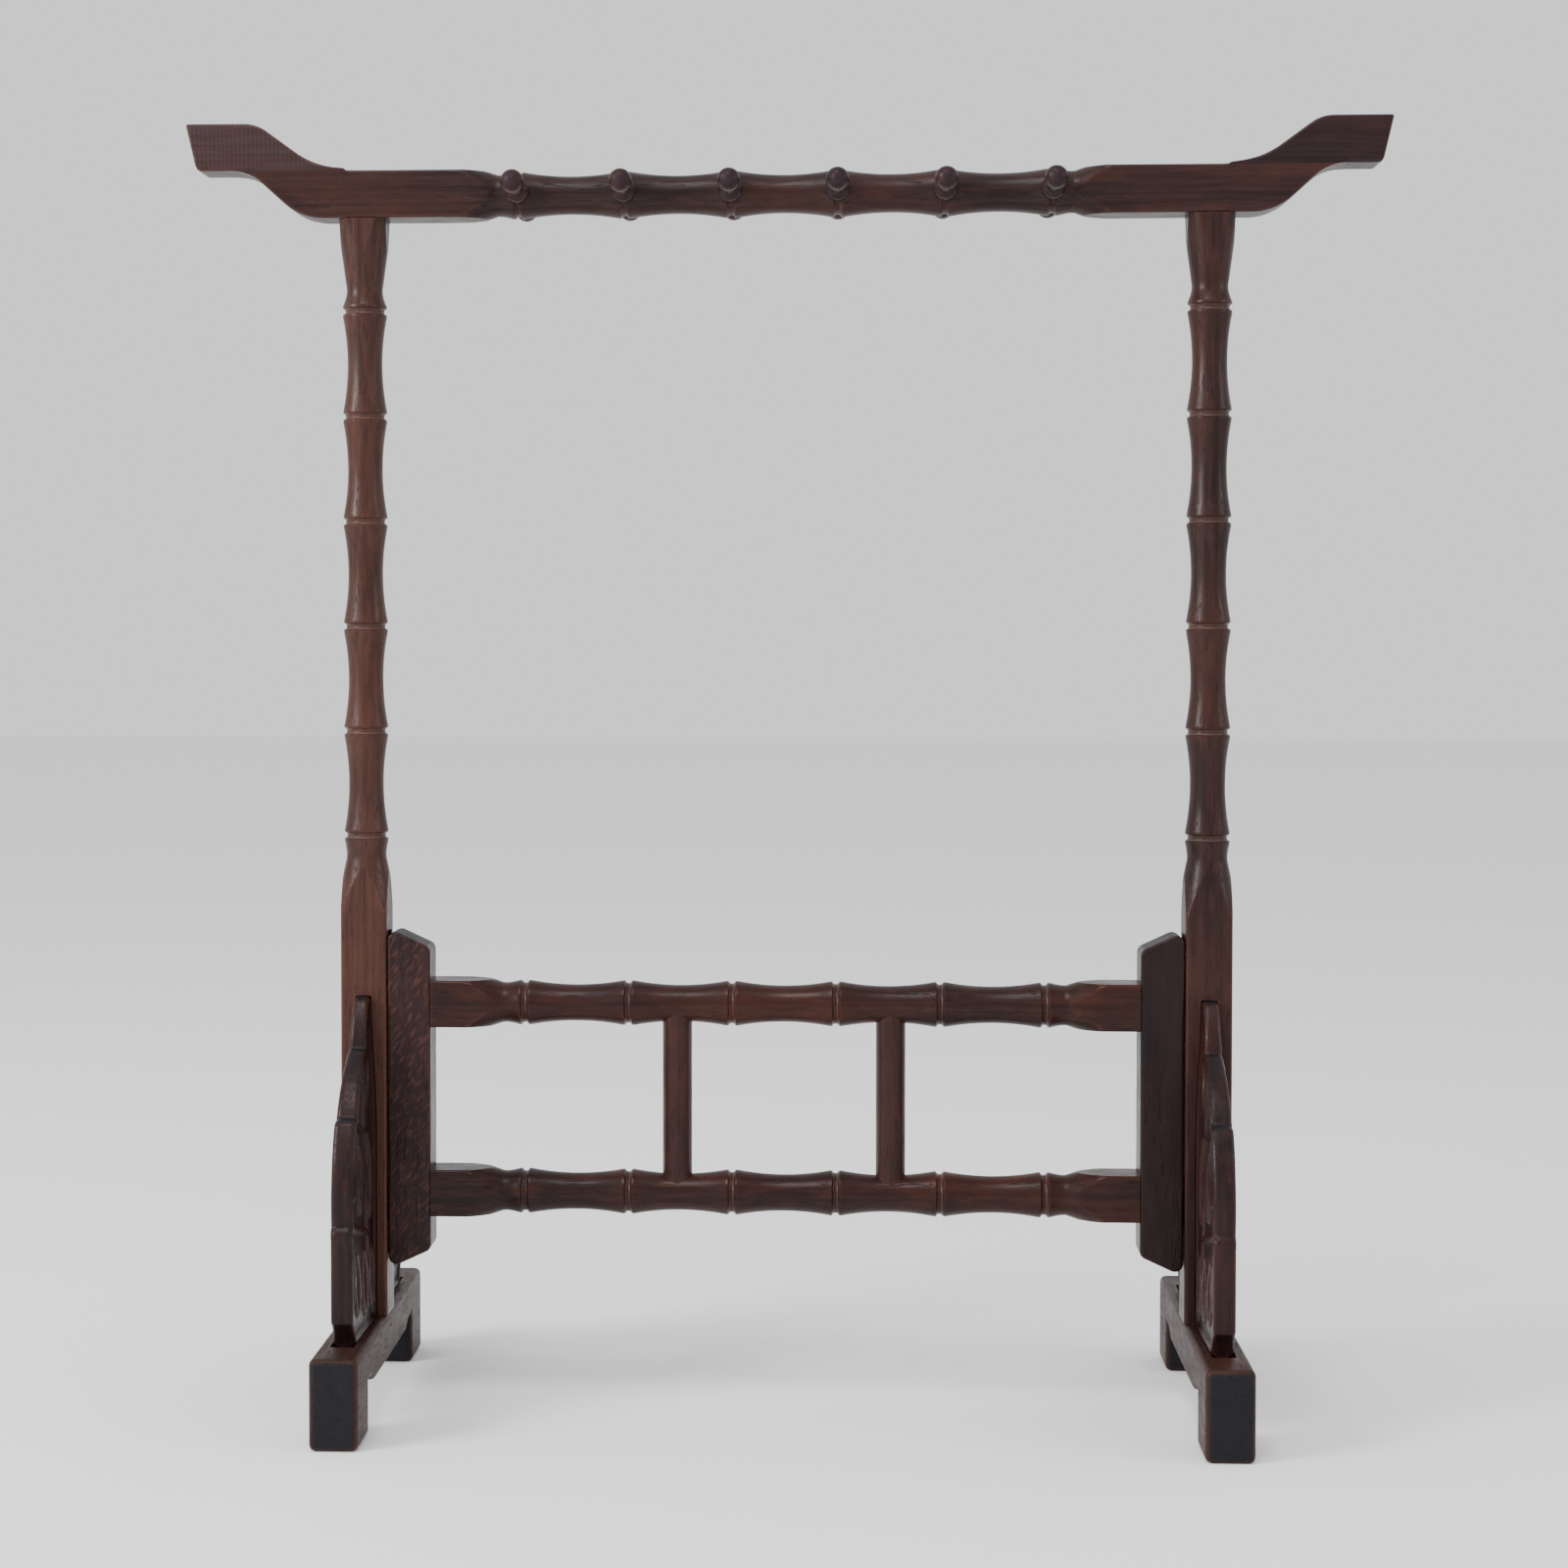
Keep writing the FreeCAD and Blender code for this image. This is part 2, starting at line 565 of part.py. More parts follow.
def make_rail(label, height, spindles_above):
    """A rail, built about its own axis, with a mortise for each spindle."""
    body = new_body(label)
    blank = new_sketch(body, "YZ_Plane")
    draw(blank, rectangle("rail_stock / 2", "-rail_stock / 2", "rail_stock / 2"))
    extrude(body, "Pad", blank, "rail_length")
    last_ring = "rail_pitch * (rail_rings - 1) / 2"
    turn_bamboo(body, "rail", f"-{last_ring}", "rail_rings", upright=False)
    end = turn_end(body, "rail", last_ring, 1, "rail_neck", "rail_corner", "rail_shoulder",
                   upright=False)
    mirror(body, [end], "YZ_Plane")
    core = new_sketch(body, "YZ_Plane")
    draw(core, rectangle("rail_tenon / 2", "-rail_tenon / 2", "rail_tenon / 2"))
    extrude(body, "Pad", core, "rail_length + 2 * rail_tenon_length")
    holes = new_sketch(body, "XY_Plane")
    for sign in ("-", ""):
        draw_circle(holes, f"{sign}spindle_spacing / 2", "0", "spindle_tenon")
    extrude(body, "Pocket", holes, "rail_stock", both_ways=False, reverse=spindles_above)
    return place(body, up=height)


def make_spindle(label, left, lower_rail, upper_rail):
    """A round bar scribed to both rails, with a tenon in each."""
    blank = document.addObject("Part::Cylinder", label + "_blank")
    blank.setExpression("Radius", bound("spindle_radius"))
    blank.setExpression("Height", bound("upper_rail_height - lower_rail_height"))
    place(blank, across=("-" if left else "") + "spindle_spacing / 2", up="lower_rail_height")
    return cut(label, cut(label + "_scribed", blank, lower_rail), upper_rail)


def make_hook_plate(label, left):
    """The slab that hangs on the post, built with its inner face towards +X and its middle at Z = 0."""
    body = new_body(label)
    top, bottom = "plate_height / 2", "-plate_height / 2"
    side = new_sketch(body, "XZ_Plane")
    draw(side, [("0", bottom), ("plate_width", f"{bottom} + plate_slope"),
                ("plate_width", f"{top} - plate_slope"), ("0", top)])
    extrude(body, "Pad", side, "plate_depth")
    document.recompute()
    rounding = body.newObject("PartDesign::Fillet", label + "_rounding")
    across = [f"Edge{index}" for index, edge in enumerate(body.Shape.Edges, start=1)
              if abs(edge.tangentAt(edge.FirstParameter).y) > 0.9]
    rounding.Base = (side_pad(body), across)
    rounding.Radius = number("plate_round")
    rounding.setExpression("Radius", bound("plate_round"))

    mortises = new_sketch(body, "YZ_Plane", raise_by="plate_width")
    for rail in ("upper_rail_height", "lower_rail_height"):
        middle = f"{rail} - plate_middle"
        low, high = f"{middle} - rail_tenon / 2", f"{middle} + rail_tenon / 2"
        draw(mortises, rectangle("rail_tenon / 2", low, high))
    extrude(body, "Pocket", mortises, "rail_tenon_length", both_ways=False)

    root = new_sketch(body, "XY_Plane", raise_by="key_offset - key_height / 2")
    draw(root, [("0", "-key_neck"), ("key_root_length", "-key_neck"),
                ("key_root_length", "key_neck"), ("0", "key_neck")])
    mortise = extrude(body, "Pocket", root, "key_height", both_ways=False, reverse=True)
    mirror(body, [mortise], "XY_Plane")
    inwards = "post_spacing / 2 - post_stock / 2 - plate_gap"
    across = f"-({inwards})" if left else inwards
    return place(body, across=across, up="plate_middle", half_turn=not left)


def side_pad(body):
    return next(feature for feature in body.Group if feature.TypeId == "PartDesign::Pad")


def make_key(label, left, upper):
    """A dovetail key: its root is glued in a hook plate and its tail hangs in a post."""
    body = new_body(label)
    section = new_sketch(body, "XY_Plane")
    root_end = "plate_gap + key_root_length"
    draw(section, [("-key_tail_length", "-key_tail"), ("0", "-key_neck"), (root_end, "-key_neck"),
                   (root_end, "key_neck"), ("0", "key_neck"), ("-key_tail_length", "key_tail")])
    extrude(body, "Pad", section, "key_height")
    face = "post_spacing / 2 - post_stock / 2"
    return place(body, across=f"-({face})" if left else face,
                 up="plate_middle " + ("+" if upper else "-") + " key_offset", half_turn=not left)


# ---- assembly ----

def make_hanger():
    """Every piece of the hanger, in the order it would be made."""
    fill_sheet()
    beam = make_beam()
    pieces = [beam, make_tip("left_tip", left=True), make_tip("right_tip", left=False)]
    for row, front in (("front", True), ("back", False)):
        pieces += [make_peg(f"peg_{row}_{index + 1}", beam, index, front)
                   for index in range(int(number("beam_rings")))]
    upper_rail = make_rail("upper_rail", "upper_rail_height", spindles_above=False)
    lower_rail = make_rail("lower_rail", "lower_rail_height", spindles_above=True)
    pieces += [upper_rail, lower_rail]
    for side, left in (("left", True), ("right", False)):
        pieces.append(make_foot(f"{side}_foot", left))
        pieces.append(make_post(f"{side}_post", left))
        pieces.append(make_spandrel(f"{side}_front_spandrel", left, front=True))
        pieces.append(make_spandrel(f"{side}_back_spandrel", left, front=False))
        pieces.append(make_spindle(f"{side}_spindle", left, lower_rail, upper_rail))
        pieces.append(make_hook_plate(f"{side}_hook_plate", left))
        pieces.append(make_key(f"{side}_upper_key", left, upper=True))
        pieces.append(make_key(f"{side}_lower_key", left, upper=False))
    document.recompute()
    return pieces


def check(pieces):
    """Stop if any object of the document failed or any piece isn't one sound solid."""
    for item in document.Objects:
        if {"Invalid", "Error"} & set(item.State):
            raise ValueError(f"{item.Label} did not compute: {item.State}")
    for piece in pieces:
        shape = piece.Shape
        if shape.isNull() or not shape.isValid() or len(shape.Solids) != 1:
            raise ValueError(f"{piece.Label} is not one valid solid")


hanger = make_hanger()
check(hanger)
os.makedirs("parts", exist_ok=True)
for piece in hanger:
    piece.Shape.exportStep(f"parts/{piece.Label}.step")
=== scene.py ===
"""Looks of a carved hardwood hanger for writing brushes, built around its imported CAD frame.

Metres, +Z up, -Y the front. Sizes in the classes are millimetres and are scaled by MM where they are used.
"""

import logging
import math
from dataclasses import dataclass, field
from enum import Enum
from typing import Any, Sequence

import bmesh
import bpy
import numpy as np
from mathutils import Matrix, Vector


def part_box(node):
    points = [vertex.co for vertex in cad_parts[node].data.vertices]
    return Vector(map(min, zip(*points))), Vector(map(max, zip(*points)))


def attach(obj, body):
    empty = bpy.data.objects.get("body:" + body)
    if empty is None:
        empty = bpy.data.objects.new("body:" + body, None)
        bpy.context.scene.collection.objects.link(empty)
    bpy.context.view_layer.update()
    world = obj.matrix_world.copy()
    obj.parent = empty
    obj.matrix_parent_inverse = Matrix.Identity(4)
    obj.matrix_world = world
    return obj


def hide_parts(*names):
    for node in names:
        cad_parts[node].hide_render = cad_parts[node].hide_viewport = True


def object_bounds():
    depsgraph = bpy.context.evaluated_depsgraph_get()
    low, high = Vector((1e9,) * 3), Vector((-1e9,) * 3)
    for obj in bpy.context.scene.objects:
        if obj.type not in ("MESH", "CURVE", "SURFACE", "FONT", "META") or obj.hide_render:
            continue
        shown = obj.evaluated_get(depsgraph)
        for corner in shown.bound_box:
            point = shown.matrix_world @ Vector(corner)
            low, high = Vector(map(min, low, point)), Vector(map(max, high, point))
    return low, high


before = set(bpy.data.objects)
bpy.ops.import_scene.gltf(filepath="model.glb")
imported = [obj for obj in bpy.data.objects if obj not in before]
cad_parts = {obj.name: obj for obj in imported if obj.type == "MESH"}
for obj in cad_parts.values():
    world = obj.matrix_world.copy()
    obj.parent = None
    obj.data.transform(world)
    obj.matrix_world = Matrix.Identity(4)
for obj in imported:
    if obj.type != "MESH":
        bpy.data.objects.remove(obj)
cad_low, cad_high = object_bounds()

MM = 0.001
LOG = logging.getLogger("brush_hanger")

MERGE = 1e-7           # points closer than this are one, metres
TINY = 1e-9            # keeps a divisor from zero
CLEAR = 0.01           # keeps two cutters from meeting, millimetres
CORNER_ROOM = 0.2      # how far a turning runs out past the corners of its stock, millimetres

Point = tuple[float, float]


# ---- mesh work ----

class Axis(Enum):
    """The direction in which a bar, or the grain of a piece, runs."""

    X = 0
    Y = 1
    Z = 2


def smooth_step(value: np.ndarray, low: float, high: float) -> np.ndarray:
    """0 below low, 1 above high, and a smooth turn between them."""
    share = np.clip((value - low) / (high - low), 0, 1)
    return share * share * (3 - 2 * share)


def distance_to_line(points: np.ndarray, line: Sequence[Point]) -> np.ndarray:
    """How far points are from a line of straight runs.

    Args:
        points: Places as rows of (across, up).
        line: The corners of the line.

    Returns:
        The distance of each point to the nearest run.
    """
    nearest = np.full(len(points), np.inf)
    for start, end in zip(line, line[1:]):
        first, run = np.array(start, float), np.array(end, float) - np.array(start, float)
        share = np.clip(((points - first) @ run) / max(run @ run, TINY), 0, 1)
        gap = points - first - share[:, None] * run
        nearest = np.minimum(nearest, np.sqrt((gap ** 2).sum(1)))
    return nearest


SIDE_POINTS = 5       # points on half a flat side of a section
CORNER_POINTS = 12    # spans round one corner of a section
FULL_TURN_FLAT = math.radians(12)   # angle of a round section that the side points take


def corner_path(half_width: float, half_height: float, arris: float, turned: float) -> np.ndarray:
    """A quarter of a section, from the middle of its right side to just short of the middle of its top.

    Args:
        half_width: Half the width of the stock.
        half_height: Half its height.
        arris: Radius of the rounded long edge.
        turned: Radius that the lathe left, or infinity where it never reached.

    Returns:
        Points as rows of (across, up).
    """
    reach = (min(half_width, half_height) - arris) * math.sqrt(2) + arris
    share = np.linspace(0, 1, SIDE_POINTS + 1)
    if turned < reach:
        flat = math.sqrt(max(turned ** 2 - half_width ** 2, 0))
        start = max(math.atan2(flat, half_width), FULL_TURN_FLAT)
        angles = np.concatenate([
            share[:-1] * start,
            np.linspace(start, math.pi / 2 - start, CORNER_POINTS + 1),
            math.pi / 2 - share[-2:0:-1] * start])
        straight = np.minimum(half_width / np.maximum(np.cos(angles), TINY),
                              half_height / np.maximum(np.sin(angles), TINY))
        radius = np.minimum(straight, turned)
        return np.column_stack([radius * np.cos(angles), radius * np.sin(angles)])
    turn = np.linspace(0, math.pi / 2, CORNER_POINTS + 1)
    right = np.column_stack([np.full(SIDE_POINTS, half_width), share[:-1] * (half_height - arris)])
    corner = np.column_stack([half_width - arris + arris * np.cos(turn),
                              half_height - arris + arris * np.sin(turn)])
    top = np.column_stack([share[-2:0:-1] * (half_width - arris), np.full(SIDE_POINTS - 1, half_height)])
    return np.vstack([right, corner, top])


def section(half_width: float, half_height: float, top_arris: float, low_arris: float,
            turned: float = math.inf) -> np.ndarray:
    """A whole section of a bar, anticlockwise.

    Args:
        half_width: Half the width of the stock.
        half_height: Half its height.
        top_arris: Radius of the two upper long edges.
        low_arris: Radius of the two lower long edges.
        turned: Radius that the lathe left, or infinity where it never reached.

    Returns:
        Points as rows of (across, up).
    """
    upper = corner_path(half_width, half_height, top_arris, turned)
    lower = corner_path(half_width, half_height, low_arris, turned)
    quarters = [upper, (upper[1:] * (-1, 1))[::-1], lower * (-1, -1), (lower[1:] * (1, -1))[::-1]]
    top_middle = np.array([[0, min(half_height, turned)]])
    return np.vstack([quarters[0], top_middle, quarters[1], quarters[2], -top_middle, quarters[3]])


def stations(start: float, end: float, busy: Sequence[float], exact: Sequence[float] = (),
             fine: float = 0.3, coarse: float = 1.6, near: float = 2.8) -> list[float]:
    """Places along a bar where it needs a section, closer together near busy places.

    Args:
        start: First place.
        end: Last place.
        busy: Places whose surroundings need close sections.
        exact: Places that need a section of their own.
        fine: Step near a busy place.
        coarse: Step elsewhere.
        near: How far the surroundings of a busy place reach.

    Returns:
        The places in rising order.
    """
    places, here = [start], start
    while here < end:
        close = any(abs(here - spot) < near for spot in busy)
        here += fine if close else coarse
        places.append(min(here, end))
    kept = [place for place in places if all(abs(place - spot) > fine / 3 for spot in exact)]
    return sorted(set(kept) | {spot for spot in exact if start <= spot <= end})


def lay(points: np.ndarray, along: np.ndarray | float, axis: Axis) -> np.ndarray:
    """Turn the points of a section into space, in millimetres.

    Args:
        points: The section as rows of (across, up).
        along: Place along the bar, one for all points or one for each.
        axis: The direction of the bar.

    Returns:
        Points as rows of (x, y, z).
    """
    run = np.broadcast_to(along, len(points))
    columns = {
        Axis.X: (run, points[:, 0], points[:, 1]),
        Axis.Y: (points[:, 0], run, points[:, 1]),
        Axis.Z: (points[:, 0], points[:, 1], run)}[axis]
    return np.column_stack(columns)


def new_piece(name: str, mesh: bpy.types.Mesh, crease: float = 32) -> bpy.types.Object:
    """Put a mesh in the scene as a piece.

    Args:
        name: Name of the piece.
        mesh: Its shape.
        crease: Edges that turn by more degrees than this stay sharp; the rest are shaded smooth.

    Returns:
        The new object.
    """
    piece = bpy.data.objects.new(name, mesh)
    bpy.context.scene.collection.objects.link(piece)
    mesh.shade_smooth()
    mesh.set_sharp_from_angle(angle=math.radians(crease))
    return piece


def mesh_of(name: str, points: np.ndarray, faces: Sequence[Sequence[int]]) -> bpy.types.Mesh:
    """A closed mesh with its faces turned outwards.

    Args:
        name: Name of the mesh.
        points: Places as rows of (x, y, z), in millimetres.
        faces: The points of each face, by number.

    Returns:
        The new mesh, in metres.
    """
    mesh = bpy.data.meshes.new(name)
    mesh.from_pydata((np.asarray(points) * MM).tolist(), [], faces)
    skin = bmesh.new()
    skin.from_mesh(mesh)
    bmesh.ops.remove_doubles(skin, verts=skin.verts, dist=MERGE)
    bmesh.ops.recalc_face_normals(skin, faces=skin.faces)
    skin.to_mesh(mesh)
    skin.free()
    return mesh


def loft(name: str, rings: Sequence[np.ndarray]) -> bpy.types.Mesh:
    """Skin a row of rings, and close both ends.

    Args:
        name: Name of the mesh.
        rings: Rings with the same number of points, in millimetres.

    Returns:
        The new mesh.
    """
    count, size = len(rings), len(rings[0])
    faces: list[list[int]] = [list(range(size))[::-1], [(count - 1) * size + k for k in range(size)]]
    for row in range(count - 1):
        for k in range(size):
            after = (k + 1) % size
            low, high = row * size, (row + 1) * size
            faces.append([low + k, low + after, high + after, high + k])
    return mesh_of(name, np.vstack(rings), faces)


def prism(name: str, outline: Sequence[Point], low: float, high: float, axis: Axis) -> bpy.types.Mesh:
    """A straight block.

    Args:
        name: Name of the mesh.
        outline: Its outline in the plane across the axis.
        low: Where it starts along the axis.
        high: Where it ends.
        axis: The direction in which it is drawn out.

    Returns:
        The new mesh.
    """
    flat = np.array(outline, float)
    return loft(name, [lay(flat, low, axis), lay(flat, high, axis)])


def rectangle(left: float, right: float, low: float, high: float) -> list[Point]:
    """The corners of a rectangle, anticlockwise."""
    return [(left, low), (right, low), (right, high), (left, high)]


def settle(piece: bpy.types.Object) -> None:
    """Apply a piece's modifiers to its mesh.

    Args:
        piece: The piece, which is left without modifiers.
    """
    bpy.context.view_layer.update()
    depsgraph = bpy.context.evaluated_depsgraph_get()
    mesh = bpy.data.meshes.new_from_object(piece.evaluated_get(depsgraph))
    piece.modifiers.clear()
    piece.data = mesh


SANDED_EDGE = math.radians(28)   # edges that turn by less are left alone


def soften(piece: bpy.types.Object, width: float, segments: int = 4, clamp: bool = True) -> None:
    """Round the sharp edges of a piece, as hand-sanding does.

    Args:
        piece: The piece to sand.
        width: Width of the rounding, in millimetres.
        segments: Facets across it.
        clamp: Whether the rounding stays narrow enough for the shortest edge.
    """
    bevel = piece.modifiers.new("sanding", "BEVEL")
    bevel.width = width * MM
    bevel.segments = segments
    bevel.limit_method = "ANGLE"
    bevel.angle_limit = SANDED_EDGE
    bevel.use_clamp_overlap = clamp
    settle(piece)


def carve(piece: bpy.types.Object, cutters: Sequence[bpy.types.Mesh]) -> None:
    """Cut closed meshes out of a piece.

    Args:
        piece: The piece to cut.
        cutters: Meshes that don't meet each other; they are used up.
    """
    joined = bmesh.new()
    for cutter in cutters:
        joined.from_mesh(cutter)
        bpy.data.meshes.remove(cutter)
    tool_mesh = bpy.data.meshes.new(piece.name + "_cutter")
    joined.to_mesh(tool_mesh)
    joined.free()
    tool = bpy.data.objects.new(piece.name + "_cutter", tool_mesh)
    bpy.context.scene.collection.objects.link(tool)
    cut = piece.modifiers.new("carving", "BOOLEAN")
    cut.object = tool
    cut.operation = "DIFFERENCE"
    cut.solver = "EXACT"
    settle(piece)
    bpy.data.objects.remove(tool)


def arc_points(start: Point, end: Point, rise: float, spans: int) -> list[Point]:
    """Points on an arc from start to just short of end.

    Args:
        start: First point.
        end: The point where the arc would end.
        rise: How far the arc stands out to the left of the way; 0 is a straight line.
        spans: Number of points.

    Returns:
        The points, or start alone on a straight line.
    """
    first, last = Vector(start), Vector(end)
    if rise == 0:
        return [tuple(first)]
    chord = last - first
    left = Vector((-chord.y, chord.x)).normalized()
    radius = (chord.length ** 2 / 4 + rise ** 2) / (2 * rise)
    centre = (first + last) / 2 + left * (rise - radius)
    opening = 2 * math.asin(min(1.0, chord.length / 2 / abs(radius)))
    if abs(rise) > chord.length / 2:
        opening = 2 * math.pi - opening
    sweep = -math.copysign(opening, rise)
    begin = math.atan2(first.y - centre.y, first.x - centre.x)
    return [(centre.x + abs(radius) * math.cos(begin + sweep * k / spans),
             centre.y + abs(radius) * math.sin(begin + sweep * k / spans)) for k in range(spans)]


def outline(corners: Sequence[tuple[float, ...]], spans: int = 8) -> list[Point]:
    """A closed outline through corners.

    Args:
        corners: Each is (across, up), or (across, up, rise of the arc to the next corner).
        spans: Points on each arc.

    Returns:
        The points of the outline, in the order of the corners.
    """
    points: list[Point] = []
    for index, corner in enumerate(corners):
        following = corners[(index + 1) % len(corners)]
        rise = corner[2] if len(corner) == 3 else 0.0
        points += arc_points(corner[:2], following[:2], rise, spans)
    return points


def places_of(mesh: bpy.types.Mesh) -> np.ndarray:
    """The points of a mesh as rows of (x, y, z), in metres."""
    places = np.zeros(len(mesh.vertices) * 3)
    mesh.vertices.foreach_get("co", places)
    return places.reshape(-1, 3)


def mark_edges_and_hollows(piece: bpy.types.Object) -> None:
    """Store how far each point stands on a convex edge, where wear and a painted highlight go, and how far
    it lies in a hollow, from 0 to 1.

    Args:
        piece: The piece, which gets the attributes "edge" and "hollow".
    """
    round_bar, sharp, hollow_start, hollow_full = 0.32, 1.3, 0.25, 1.6   # curvatures, per millimetre
    shortest = 0.12   # millimetres; steps below this would exaggerate the curvature
    mesh = piece.data
    count = len(mesh.vertices)
    places = places_of(mesh) / MM
    normals = np.zeros(count * 3)
    mesh.vertices.foreach_get("normal", normals)
    normals = normals.reshape(-1, 3)
    ends = np.zeros(len(mesh.edges) * 2, int)
    mesh.edges.foreach_get("vertices", ends)
    ends = ends.reshape(-1, 2)
    beyond = 9.0      # past any curvature that counts
    most, least = np.full(count, -beyond), np.full(count, beyond)
    for here, there in ((ends[:, 0], ends[:, 1]), (ends[:, 1], ends[:, 0])):
        step = places[there] - places[here]
        gap = np.maximum((step ** 2).sum(1), shortest ** 2)
        bend = -2 * (normals[here] * step).sum(1) / gap
        np.maximum.at(most, here, bend)
        np.minimum.at(least, here, bend)
    levels = {
        "edge": np.clip((most - round_bar) / (sharp - round_bar), 0, 1),
        "hollow": np.clip((-least - hollow_start) / (hollow_full - hollow_start), 0, 1)}
    for word, level in levels.items():
        attribute = mesh.attributes.new(word, "FLOAT", "POINT")
        attribute.data.foreach_set("value", level.astype(np.float32))


# ---- materials ----

def linear(code: str) -> tuple[float, float, float, float]:
    """An sRGB hex colour as linear light, with full opacity."""
    channels = [int(code[k:k + 2], 16) / 255 for k in (1, 3, 5)]
    return (*(c / 12.92 if c <= 0.04045 else ((c + 0.055) / 1.055) ** 2.4 for c in channels), 1.0)


def add_node(tree: bpy.types.NodeTree, kind: str, inputs: dict[Any, Any] | None = None,
             **settings: Any) -> bpy.types.Node:
    """Add a node, set its properties, and give each named input a value or a link.

    Args:
        tree: The node tree to add to.
        kind: The node's type, without the leading "ShaderNode".
        inputs: Socket name or number to a value, or to the output socket to link from.
        settings: The node's own properties.

    Returns:
        The new node.
    """
    made = tree.nodes.new("ShaderNode" + kind)
    for word, value in settings.items():
        setattr(made, word, value)
    for socket, value in (inputs or {}).items():
        if isinstance(value, bpy.types.NodeSocket):
            tree.links.new(value, made.inputs[socket])
        else:
            made.inputs[socket].default_value = value
    return made


class Figure(Enum):
    """What the cut of the plank adds to the plain streaks."""

    STRAIGHT = "straight"
    FEATHER = "feather"     # mottled flecks where the fibres dip under the face
    RIPPLE = "ripple"       # fine marks of the plane across the grain, their ridges painted lighter as a painted highlight


# Where in its noise each mark starts, and where it is full.
BANDS = (0.38, 0.66)
FIBRES = (0.42, 0.66)
CLOUDS = (0.36, 0.66)
DIPS = (0.48, 0.68)
CROWNS = (0.48, 0.32)
PORES = (0.60, 0.70)
FLECKS = (0.50, 0.66)
RIPPLES = (-0.6, 1.0)
END_FACES = (0.72, 0.95)
HOLLOWS = (0.35, 1.0)
WORN_AND_HIGHLIT_EDGES = (0.25, 0.6)


